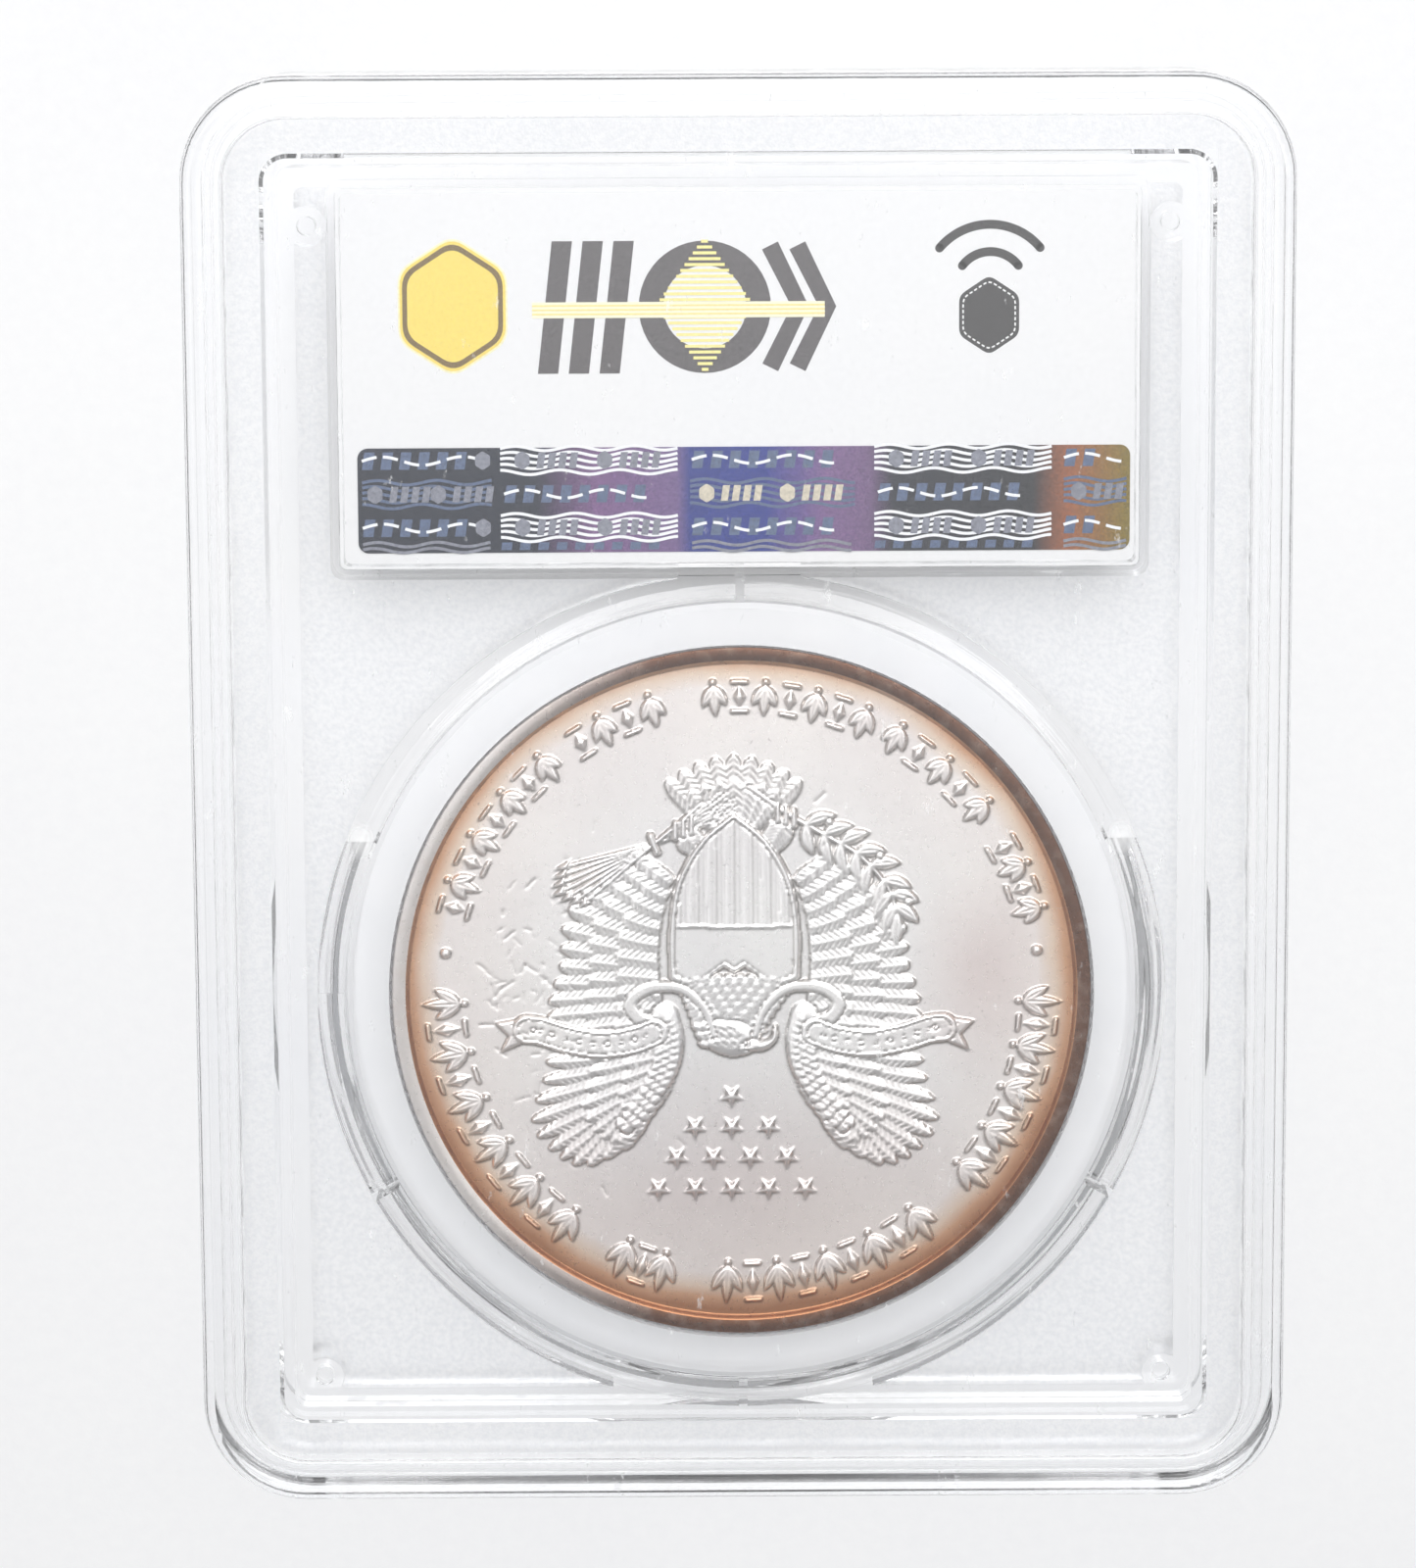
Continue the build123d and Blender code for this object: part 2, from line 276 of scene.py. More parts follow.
class Relief:
    """Heights in mm over a round grid, painted from back to front.

    u runs to the right and v up on the upright coin, in mm from the middle of the design.
    """

    def __init__(self, u, v):
        self.u = u
        self.v = v
        self.height = np.zeros_like(u)

    def near(self, points, reach):
        """The places in the box round some points."""
        low = np.min(points, axis=0) - reach
        high = np.max(points, axis=0) + reach
        inside = (self.u > low[0]) & (self.u < high[0]) & (self.v > low[1]) & (self.v < high[1])
        return np.nonzero(inside)

    def paint(self, spots, inside, height):
        """Sets the height where a shape is."""
        here = tuple(axis[inside] for axis in spots)
        self.height[here] = height[inside]

    def local(self, base, tip, reach):
        """Places near a line, how far along it they lie and how far beside it."""
        base, tip = (np.array(end, float) for end in (base, tip))
        length = np.hypot(*(tip - base))
        way = (tip - base) / length
        spots = self.near([base, tip], reach)
        du = self.u[spots] - base[0]
        dv = self.v[spots] - base[1]
        return spots, (du * way[0] + dv * way[1]) / length, dv * way[0] - du * way[1], length

    def feather(self, base, tip, width, low, lift, curl=0.0, barbs=0.38, vein=0.022):
        """A feather: rounded at its tip, with a raised shaft and slanting barbs."""
        spots, t, side, length = self.local(base, tip, width + abs(curl) * 12)
        side = side - curl * length * 4 * t * (1 - t)
        past = np.clip(t - 0.65, 0, None) / 0.35
        half = width * (0.62 + 0.38 * np.clip(t * 2, 0, 1)) * np.sqrt(np.clip(1 - past**2, 0, 1))
        across = side / np.maximum(half, 1e-6)
        inside = (t > 0) & (t < 1) & (np.abs(across) < 1)
        dome = np.sqrt(np.clip(1 - across**2 * 0.85, 0, 1))
        slant = np.sin(math.tau * (t * length + np.abs(side) * 0.9) / barbs)
        shaft = np.exp(-((side / (0.16 * width)) ** 2))
        height = low + lift * (0.45 * dome + 0.55 * t) + vein * slant * (1 - shaft) + 0.022 * shaft
        self.paint(spots, inside, height)

    def leaf(self, base, tip, width, height, curl=0.0):
        """A pointed leaf with a sunk midrib."""
        spots, t, side, length = self.local(base, tip, width + 0.3)
        t = np.clip(t, 0, 1)
        side = side - curl * length * 4 * t * (1 - t)
        half = width * np.sin(math.pi * t**0.85) ** 0.8
        across = np.abs(side) / np.maximum(half, 1e-6)
        dome = height * np.sqrt(np.clip(1 - across**2, 0, 1)) - 0.05 * np.exp(-((side / 0.07) ** 2))
        self.paint(spots, (across < 1) & (dome > self.height[spots]), dome)

    def distance(self, spots, path, closed=False):
        """How far places are from a path, and which share of the path is nearest."""
        u = self.u[spots]
        v = self.v[spots]
        best = np.full(u.shape, 1e9)
        share = np.zeros(u.shape)
        ends = np.roll(path, -1, axis=0) if closed else path[1:]
        for i, (a, b) in enumerate(zip(path, ends)):
            d = b - a
            t = np.clip(((u - a[0]) * d[0] + (v - a[1]) * d[1]) / max(d @ d, 1e-9), 0, 1)
            away = np.hypot(u - a[0] - t * d[0], v - a[1] - t * d[1])
            closer = away < best
            best = np.where(closer, away, best)
            share = np.where(closer, (i + t) / len(ends), share)
        return best, share

    def stroke(self, path, width, height, ends=None, flat=0.0):
        """A ridge along a path. Its half width may change from one end to the other."""
        path = np.array(path, float)
        last = width if ends is None else ends
        spots = self.near(path, max(width, last))
        best, share = self.distance(spots, path)
        across = best / np.maximum(width + (last - width) * share, 1e-6)
        dome = height * np.sqrt(np.clip(1 - np.clip((across - flat) / (1 - flat), 0, 1) ** 2, 0, 1))
        self.paint(spots, across < 1, dome)

    def knob(self, centre, radius, height):
        """A round bead."""
        self.stroke([centre, (centre[0] + 0.01, centre[1])], radius, height)

    def shape(self, corners, height, bevel, low=0.0):
        """A filled outline with sloping edges."""
        corners = np.array(corners, float)
        spots = self.near(corners, 0.1)
        best = self.distance(spots, corners, closed=True)[0]
        u = self.u[spots]
        v = self.v[spots]
        inside = np.zeros(u.shape, bool)
        for a, b in zip(corners, np.roll(corners, -1, axis=0)):
            crosses = (a[1] > v) != (b[1] > v)
            rise = b[1] - a[1] if abs(b[1] - a[1]) > 1e-9 else 1e-9
            inside ^= crosses & (u < a[0] + (v - a[1]) / rise * (b[0] - a[0]))
        slope = np.sin(np.clip(best / bevel, 0, 1) * math.pi / 2)
        self.paint(spots, inside, low + (height - low) * slope)
        return spots, inside, best

    def nick(self, path, depth):
        """A fine scratch."""
        path = np.array(path, float)
        spots = self.near(path, 0.25)
        best = self.distance(spots, path)[0]
        self.height[spots] -= depth * np.exp(-((best / 0.07) ** 2))


def smooth_path(corners, steps=8):
    """A smooth curve through a few points, by Catmull and Rom's rule."""
    inner = [np.array(c, float) for c in corners]
    points = [2 * inner[0] - inner[1], *inner, 2 * inner[-1] - inner[-2]]
    found = []
    for a, b, c, d in zip(points, points[1:], points[2:], points[3:]):
        for t in np.arange(steps) / steps:
            bend = (2 * a - 5 * b + 4 * c - d) * t**2 + (3 * b - a - 3 * c + d) * t**3
            found.append(0.5 * (2 * b + (c - a) * t + bend))
    return np.array([*found, inner[-1]])


def along(path, share):
    """A place part of the way along a path of equal steps."""
    at = min(max(share, 0.0), 1.0) * (len(path) - 1)
    i = min(int(at), len(path) - 2)
    return path[i] + (path[i + 1] - path[i]) * (at - i)


def polar(radius, degrees):
    """A point by its distance from the middle and its angle."""
    return radius * np.array([math.cos(math.radians(degrees)), math.sin(math.radians(degrees))])


def mirrored(path, side):
    """A path as it is on the right, or turned over to the left."""
    return np.array(path, float) * (side, 1)


def paint_tail(relief):
    """A fan of tail feathers below the shield."""
    for row, (count, reach, spread) in enumerate(((9, 4.4, 46), (7, 3.0, 36))):
        for k in range(count):
            share = 2 * k / (count - 1) - 1
            base = np.array([0.9 * share, -9.5])
            tip = base + polar(reach * (1 - 0.06 * abs(share)), share * spread - 90)
            relief.feather(base, tip, 0.56 - 0.06 * row, 0.05 + 0.06 * row, 0.09)


def paint_fan(relief, side, arm, outer, rows):
    """Rows of feathers that spread from an arm to an outer line."""
    for count, reach, width, low, lift in rows:
        for k in range(count):
            share = k / (count - 1)
            root = along(arm, share)
            tip = root + (along(outer, share) - root) * reach * (1 + 0.03 * math.sin(5.1 * k))
            curl = side * (0.06 - 0.11 * share)
            relief.feather(mirrored(root, side), mirrored(tip, side), width, low, lift, curl)


def paint_wing(relief, side):
    """A raised wing: a lower and an upper fan of feathers, and a scaled arm."""
    low_arm = smooth_path([(3.6, -6.4), (4.2, -4.2), (4.4, -1.8), (4.2, 0.6), (3.8, 2.6)])
    low_outer = smooth_path([(5.6, -7.9), (8.2, -6.6), (9.8, -4.0), (10.3, -1.4), (10.6, 1.0), (10.8, 3.2)])
    paint_fan(
        relief, side, low_arm, low_outer,
        ((13, 1.0, 0.62, 0.03, 0.13), (12, 0.70, 0.60, 0.08, 0.12), (11, 0.42, 0.58, 0.13, 0.11)),
    )
    high_arm = smooth_path([(3.3, 2.2), (3.3, 3.8), (3.9, 5.6), (5.2, 7.4)])
    high_outer = smooth_path([(10.9, 3.0), (11.3, 5.4), (11.5, 7.8), (10.6, 9.7), (8.6, 10.1), (6.6, 9.2)])
    paint_fan(
        relief, side, high_arm, high_outer,
        ((12, 1.0, 0.52, 0.04, 0.13), (11, 0.66, 0.48, 0.10, 0.11), (10, 0.40, 0.44, 0.15, 0.10)),
    )
    ridge = mirrored(smooth_path([(3.5, 1.4), (3.1, 2.8), (3.3, 4.4), (4.3, 6.2), (5.7, 8.0)]), side)
    relief.stroke(ridge + (side * 0.55, 0), 0.85, 0.27, ends=0.40)
    for k in range(15):
        for lane in range(3):
            spot = along(ridge, (k + 0.5 * (lane % 2)) / 15) + (side * (0.10 + 0.46 * lane), 0)
            relief.feather(spot, spot + (side * 0.52, 0.30), 0.27, 0.22, 0.09, barbs=0.2)


def paint_shield(relief):
    """A pointed shield: plain above, upright bars below."""
    right = smooth_path([(3.75, -0.8), (3.8, -3.6), (3.3, -6.6), (1.9, -9.0), (0, -10.6)])
    crest = [(0, -1.1), (0.6, -1.5), (1.9, -0.55), (3.1, -0.35)]
    crest = [*mirrored(crest[:0:-1], -1), *crest]
    outline = [*right, *mirrored(right[::-1][1:], -1), *crest]
    relief.shape(outline, 0.33, 0.22, low=0.12)
    inner = [(u * 0.91, -5.3 + (v + 5.3) * 0.93) for u, v in outline]
    spots, inside, away = relief.shape(inner, 0.25, 0.08, low=0.33)
    u = relief.u[spots]
    v = relief.v[spots]
    lines = 0.012 * np.sin(math.tau * u / 0.26)
    field = np.where(v < -3.9, 0.24 + 0.05 * (np.sin(math.tau * u / 1.04) > 0) + lines, 0.262)
    field = np.where(np.abs(v + 3.9) < 0.08, 0.31, field)
    relief.paint(spots, inside, np.where(away < 0.10, 0.22, field))


def paint_head(relief):
    """The bird's breast, neck and head, turned to one side."""
    for row in range(7):
        count = 10 - row
        for k in range(count):
            share = 2 * k / (count - 1) - 1
            spot = np.array([0.06 * row + share * (2.9 - 0.22 * row), -0.75 + 0.42 * row + 0.25 * share**2])
            relief.feather(spot + (0, 0.7), spot - (0.1 * share, 0.35), 0.36, 0.19, 0.10, barbs=0.22)
    crown = [(1.9, 1.5), (2.1, 2.3), (1.7, 3.1), (0.6, 3.7)]
    crown += [(-0.5, 3.7), (-1.3, 3.2), (-1.3, 2.3), (-0.3, 1.6)]
    relief.shape(smooth_path([*crown, crown[0]]), 0.37, 0.8, low=0.20)
    for row in range(3):
        for k in range(5):
            spot = np.array([-0.5 + 0.5 * k + 0.2 * row, 3.15 - 0.5 * row])
            relief.feather(spot, spot + (0.55, -0.28), 0.22, 0.29, 0.07, barbs=0.2)
    relief.stroke(smooth_path([(-1.0, 3.1), (-1.7, 3.1), (-2.25, 2.7), (-2.35, 2.0)]), 0.42, 0.35, ends=0.10)
    relief.stroke([(-1.1, 2.4), (-1.8, 2.25)], 0.20, 0.28, ends=0.08)
    relief.knob((-0.65, 2.95), 0.17, 0.40)
    relief.stroke([(-0.3, 3.3), (-1.1, 3.25)], 0.10, 0.41, ends=0.05)


def paint_arrows(relief):
    """A sheaf of arrows in one claw."""
    grip = np.array([4.6, -8.7])
    for k in range(7):
        way = polar(1, 14 + 4.4 * k)
        side = np.array([-way[1], way[0]])
        tip = grip + way * (5.7 - 0.25 * abs(k - 3))
        tail = grip - polar(4.6 + 0.2 * (k % 3), 21 + 3.2 * k)
        relief.stroke([tail, grip, tip], 0.13, 0.21, ends=0.10)
        head = [tip + way, tip - way * 0.15 + side * 0.34, tip + way * 0.1, tip - way * 0.15 - side * 0.34]
        relief.shape(head, 0.27, 0.15)
        for j in range(5):
            spot = tail + (grip - tail) * 0.055 * j
            for edge in (-1, 1):
                relief.stroke([spot, spot - way * 0.28 + side * 0.28 * edge], 0.07, 0.20)
    relief.stroke([grip + (-0.2, 0.5), grip + (0.2, -0.5)], 0.20, 0.30)


def paint_branch(relief):
    """A leafy branch with small fruit in the other claw."""
    stem = smooth_path([(-0.9, -12.0), (-3.0, -10.5), (-5.2, -9.2), (-7.2, -8.0), (-8.8, -6.2), (-9.4, -4.6)])
    relief.stroke(stem, 0.20, 0.20, ends=0.09)
    for k in range(8):
        share = 0.30 + 0.092 * k
        root = along(stem, share)
        ahead = along(stem, share + 0.05) - root if share < 0.94 else root - along(stem, share - 0.05)
        lean = math.degrees(math.atan2(ahead[1], ahead[0]))
        for turn in (46, -46):
            tip = root + polar(1.95 - 0.3 * share, lean + turn * (1 + 0.2 * math.sin(3.3 * k)))
            relief.leaf(root, tip, 0.42, 0.24, curl=math.copysign(0.06, turn))
        if k % 3 == 1:
            relief.knob(root + polar(0.8, lean + 90), 0.25, 0.25)
    relief.leaf(stem[-1], stem[-1] + (0.1, 1.9), 0.42, 0.24)


def paint_claws(relief):
    """The toes that hold the arrows and the branch."""
    for side, grip in ((1, (2.9, -9.7)), (-1, (-3.0, -10.4))):
        relief.feather((side * 1.9, -8.2), (grip[0], grip[1] + 0.4), 0.8, 0.14, 0.10, barbs=0.25)
        for k in range(3):
            spot = np.array([grip[0] + 0.46 * (k - 1), grip[1] + 0.14 * (k - 1) * side])
            relief.stroke([spot + (0, 0.5), spot - (0, 0.42)], 0.21, 0.30, ends=0.12)


def paint_ribbon(relief, side):
    """Half of a plain ribbon: an arch from the beak, a fold, and a flat run across the wing to a fork."""
    arch = smooth_path([(1.2, 2.5), (1.7, 1.0), (3.0, -0.2), (4.8, -0.3), (6.0, 0.5), (5.6, 1.4), (4.6, 2.0)])
    relief.stroke(mirrored(arch, side), 0.22, 0.30, ends=0.50, flat=0.55)
    fork = [(11.4, 2.6), (13.6, 3.5), (13.1, 2.5), (13.9, 1.7), (11.4, 1.3)]
    relief.shape(mirrored(fork, side), 0.22, 0.14)
    run = [(4.6, 2.3), (6.0, 2.8), (7.8, 3.0), (9.6, 2.7), (11.2, 2.2), (12.0, 2.1)]
    run = mirrored(smooth_path(run), side)
    relief.stroke(run, 0.80, 0.32, ends=0.86, flat=0.84)
    relief.stroke(run[1:-1], 0.58, 0.28, ends=0.62, flat=0.9)
    for k in range(10):
        spot = along(run, 0.08 + 0.09 * k)
        relief.knob(spot, 0.13 + 0.05 * (k % 2), 0.34)


def paint_stars(relief):
    """Thirteen small stars in four rows."""
    for v, count in ((6.1, 1), (7.95, 3), (9.75, 4), (11.6, 5)):
        for k in range(count):
            star = polygon((0.2 + (k - (count - 1) / 2) * 2.13, v), (0.78, 0.33), 10, turn=90)
            relief.shape(star, 0.24, 0.26)


def paint_sprig(relief, degrees, radius, size, inward):
    """A small upright ornament in the border: three leaves over a bead."""
    out = polar(1, degrees) * (-1 if inward else 1)
    side = np.array([-out[1], out[0]])
    foot = polar(radius, degrees) - out * size / 2
    relief.knob(foot, 0.20, 0.20)
    for lean in (-0.62, 0.62, 0):
        start = foot + out * 0.25
        relief.leaf(start, start + (out + side * lean) * size * (0.95 if lean == 0 else 0.62), 0.34, 0.22)


def paint_lozenge(relief, degrees, radius, size):
    """A lozenge between two short bars, which stands between the sprigs."""
    out = polar(1, degrees)
    side = np.array([-out[1], out[0]])
    centre = polar(radius, degrees)
    tall = out * size * 0.36
    relief.shape([centre + tall, centre + side * 0.4, centre - tall, centre - side * 0.4], 0.22, 0.3)
    for end in (-1, 1):
        bar = centre + out * end * size * 0.47
        relief.stroke([bar - side * 0.42, bar + side * 0.42], 0.12, 0.2)


def paint_border(relief):
    """Groups of ornaments round the border, with a bead between its long and its short arc."""
    long_arc = ((178, 141, 9), (127, 87, 9), (74, 66, 3), (53, 2, 11))
    short_arc = ((196, 209, 4), (218, 239, 5), (246, 275, 7), (287, 302, 4), (310, 343, 8))
    for groups, radius, size in ((long_arc, 17.15, 2.3), (short_arc, 17.25, 1.8)):
        for start, end, count in groups:
            for k in range(count):
                degrees = start + (end - start) * k / (count - 1)
                if k % 2:
                    paint_lozenge(relief, degrees, radius, size)
                else:
                    paint_sprig(relief, degrees, radius, size, degrees > 180)
    for degrees in (-8, 188):
        relief.knob(polar(17.2, degrees), 0.30, 0.22)


def paint_nicks(relief, seed, count):
    """Light handling marks, most of them on one side."""
    chance = np.random.default_rng(seed)
    for k in range(count):
        spread = 1.2 if k % 3 else 7.0
        start = polar(chance.uniform(9, 14.5), chance.normal(0, 12 * spread))
        reach = chance.uniform(0.15, 0.9)
        end = start + polar(reach, chance.uniform(0, 360))
        relief.nick([start, end], chance.uniform(0.01, 0.035))


def paint_bird_side(u, v):
    """The side that shows: a bird with spread wings behind a barred shield, with an ornamental border."""
    relief = Relief(u, v)
    paint_border(relief)
    relief.u = u - DESIGN_SHIFT
    paint_tail(relief)
    for side in (1, -1):
        paint_wing(relief, side)
    paint_branch(relief)
    paint_arrows(relief)
    paint_claws(relief)
    paint_shield(relief)
    paint_head(relief)
    for side in (1, -1):
        paint_ribbon(relief, side)
    paint_stars(relief)
    paint_nicks(relief, 7, 70)
    return relief.height


def paint_wreath_side(u, v):
    """The other side: a rayed disc inside a laurel wreath."""
    relief = Relief(u, v)
    for side in (1, -1):
        for k in range(20):
            root = polar(13.5, -80 + 8 * k) * (side, 1)
            for lean in (0.75, -0.25):
                tip = polar(13.5 + 2.6 * lean, -70 + 8 * k) * (side, 1)
                relief.leaf(root, tip, 0.55, 0.24)
            if k % 4 == 2:
                relief.knob(polar(11.9, -80 + 8 * k) * (side, 1), 0.34, 0.26)
    for k in range(24):
        relief.stroke([polar(5.2, 15 * k), polar(9.6 - 1.2 * (k % 2), 15 * k)], 0.42, 0.18, ends=0.10)
    relief.stroke([polar(4.6, 9 * k) for k in range(41)], 0.35, 0.24)
    relief.shape(polygon((0, 0), (3.4, 1.6), 16, turn=90), 0.28, 1.2)
    for k in range(72):
        relief.knob(polar(17.9, 5 * k), 0.22, 0.16)
    return relief.height


# ---------------------------------------------------------------- materials

class Tree:
    """A node tree, with short calls for its nodes."""

    def __init__(self, tree):
        self.tree = tree

    def link(self, value, socket):
        if isinstance(value, bpy.types.NodeSocket):
            self.tree.links.new(value, socket)
        elif value is not None:
            socket.default_value = value

    def node(self, kind, **inputs):
        """A node, with values or links for its inputs, by name with underscores for spaces."""
        node = self.tree.nodes.new("ShaderNode" + kind)
        for name, value in inputs.items():
            self.link(value, node.inputs[name.replace("_", " ")])
        return node

    def math(self, operation, a, b=None, c=None, clamp=False):
        node = self.node("Math")
        node.operation = operation
        node.use_clamp = clamp
        for value, socket in zip((a, b, c), node.inputs):
            self.link(value, socket)
        return node.outputs[0]

    def between(self, value, low, high):
        """One where a value lies between two limits, or zero."""
        over = self.math("GREATER_THAN", value, low)
        return self.math("MULTIPLY", over, self.math("LESS_THAN", value, high))

    def ramp(self, value, stops):
        """Colours or grey levels along a value: stops are pairs of place and colour."""
        node = self.node("ValToRGB")
        self.link(value, node.inputs[0])
        band = node.color_ramp
        while len(band.elements) < len(stops):
            band.elements.new(0.5)
        for element, (place, colour) in zip(band.elements, stops):
            element.position = place
            element.color = (*colour, 1) if isinstance(colour, tuple) else (colour, colour, colour, 1)
        return node.outputs[0]


class Graph(Tree):
    """A material's node tree."""

    def __init__(self, name):
        self.material = bpy.data.materials.new(name)
        self.material.use_nodes = True
        super().__init__(self.material.node_tree)
        self.shader = self.tree.nodes["Principled BSDF"]
        self.place = self.node("TexCoord").outputs["Object"]

    def patch(self, x, y, centre, size):
        """A soft oval: one in its middle, zero past its edge."""
        terms = []
        for value, middle, half in zip((x, y), centre, size):
            share = self.math("DIVIDE", self.math("SUBTRACT", value, middle), half)
            terms.append(self.math("POWER", share, 2.0))
        return self.ramp(self.math("SQRT", self.math("ADD", *terms)), [(0.15, 1.0), (1.0, 0.0)])

    def axes(self):
        """The place in mm as three sockets."""
        split = self.node("SeparateXYZ", Vector=self.place)
        return [self.math("DIVIDE", out, MM) for out in split.outputs]

    def noise(self, size, detail=2.0, roughness=0.5, stretch=(1, 1, 1)):
        """Noise whose features are about a size in mm."""
        shift = self.node("Mapping", Vector=self.place, Scale=stretch)
        scale = 1 / (size * MM)
        node = self.node("TexNoise", Vector=shift.outputs[0], Scale=scale, Detail=detail, Roughness=roughness)
        return node.outputs["Fac"]

    def mix(self, factor, a, b, blend="MIX"):
        """A mix of two colours."""
        node = self.node("Mix")
        node.data_type = "RGBA"
        node.blend_type = blend
        self.link(factor, node.inputs["Factor"])
        for value, socket in zip((a, b), (node.inputs[6], node.inputs[7])):
            self.link((*value, 1) if isinstance(value, tuple) else value, socket)
        return node.outputs[2]

    def bump(self, height, distance, strength=1.0):
        node = self.node("Bump", Height=height, Distance=distance * MM, Strength=strength)
        self.link(node.outputs[0], self.shader.inputs["Normal"])

    def let_light_in(self):
        """Lets lamp and bounced light straight through clear plastic, as it is too thin to cast a shadow."""
        rays = self.node("LightPath")
        open_to = self.math("MAXIMUM", rays.outputs["Is Shadow Ray"], rays.outputs["Is Diffuse Ray"])
        clear = self.node("BsdfTransparent", Color=(*CLEAR_TINT, 1))
        mix = self.node("MixShader")
        for value, socket in zip((open_to, self.shader.outputs[0], clear.outputs[0]), mix.inputs):
            self.link(value, socket)
        self.link(mix.outputs[0], self.tree.nodes["Material Output"].inputs["Surface"])

    def set(self, **sockets):
        """Values or links for the shader's sockets, by name with underscores for spaces."""
        for name, value in sockets.items():
            socket = self.shader.inputs[name.replace("_", " ")]
            self.link((*value, 1) if isinstance(value, tuple) and len(value) == 3 else value, socket)


def edge_distance(g, x, y):
    """How far in from the holder's outer wall a place is, in mm."""
    from_side = g.math("SUBTRACT", HALF_W, g.math("ABSOLUTE", x))
    from_end = g.math("SUBTRACT", HALF_L, g.math("ABSOLUTE", y))
    return g.math("MINIMUM", from_side, from_end)


def from_coin(g, x, y):
    """How far a place is from the coin's axis in mm: along the holder, and in all."""
    off_axis = g.math("SUBTRACT", y, COIN_Y)
    return off_axis, g.math("SQRT", g.math("ADD", g.math("POWER", x, 2.0), g.math("POWER", off_axis, 2.0)))


def frosted_area(g):
    """One on the frosted parts of the shells: the stacking band, and the panels but for their two windows."""
    x, y, z = g.axes()
    edge = edge_distance(g, x, y)
    top = HOLDER_HIGH[2]
    band_level, rear_level, front_level = (
        g.between(z, level - LEVEL_TOLERANCE, level + LEVEL_TOLERANCE)
        for level in (top - BAND_DROP, top - FACE_DROP - WALL_T, RING_LOW[2] - FRONT_FLOOR_DROP)
    )
    band = g.math("MULTIPLY", g.between(edge, RIM_IN + EDGE_MARGIN, BAND_IN - EDGE_MARGIN), band_level)
    levels = g.math("ADD", rear_level, front_level)
    outside_well = g.math("GREATER_THAN", from_coin(g, x, y)[1], WELL_R)
    pocket_x = g.math("LESS_THAN", g.math("ABSOLUTE", x), LABEL_HIGH[0] + POCKET_MARGIN)
    pocket_y = g.between(y, LABEL_LOW[1] - POCKET_MARGIN, LABEL_HIGH[1] + POCKET_MARGIN)
    outside_pocket = g.math("SUBTRACT", 1.0, g.math("MULTIPLY", pocket_x, pocket_y))
    panel = g.math("MULTIPLY", g.math("GREATER_THAN", edge, CHAMBER_IN), levels)
    panel = g.math("MULTIPLY", panel, g.math("MULTIPLY", outside_well, outside_pocket))
    return g.math("MAXIMUM", band, panel)


def well_wall_marks(g):
    """The end of the coin well's wall, the flow lines drawn out along it, and the white marks by its ribs."""
    x, y, z = g.axes()
    off_axis, radius = from_coin(g, x, y)
    level = g.between(z, WALL_END_Z - 0.2, WALL_END_Z + 0.2)
    wall_end = g.math("MULTIPLY", level, g.between(radius, WELL_IN_R - EDGE_MARGIN, WELL_OUT_R + EDGE_MARGIN))
    across = g.math("DIVIDE", radius, FLOW_ACROSS)
    around = g.math("MULTIPLY", g.math("ARCTAN2", off_axis, x), WELL_IN_R / FLOW_ALONG)
    drawn_out = g.node("CombineXYZ", X=across, Y=around).outputs[0]
    flow = g.node("TexNoise", Vector=drawn_out, Scale=1.0, Detail=1.0)
    lower = g.math("MULTIPLY_ADD", g.math("LESS_THAN", off_axis, RIB_Y), 0.75, 0.25)
    ridge = g.math("ABSOLUTE", g.math("SUBTRACT", radius, (WELL_IN_R + WELL_OUT_R) / 2))
    waves = g.math("MULTIPLY_ADD", flow.outputs["Fac"], FLOW_RISE, g.math("MULTIPLY", ridge, RIDGE_RISE))
    streaks = g.math("MULTIPLY", waves, lower)
    sides = g.math("ABSOLUTE", x)
    return wall_end, streaks, g.math("MULTIPLY", level, g.patch(sides, off_axis, (RIB_X, RIB_Y), (0.9, 1.2)))


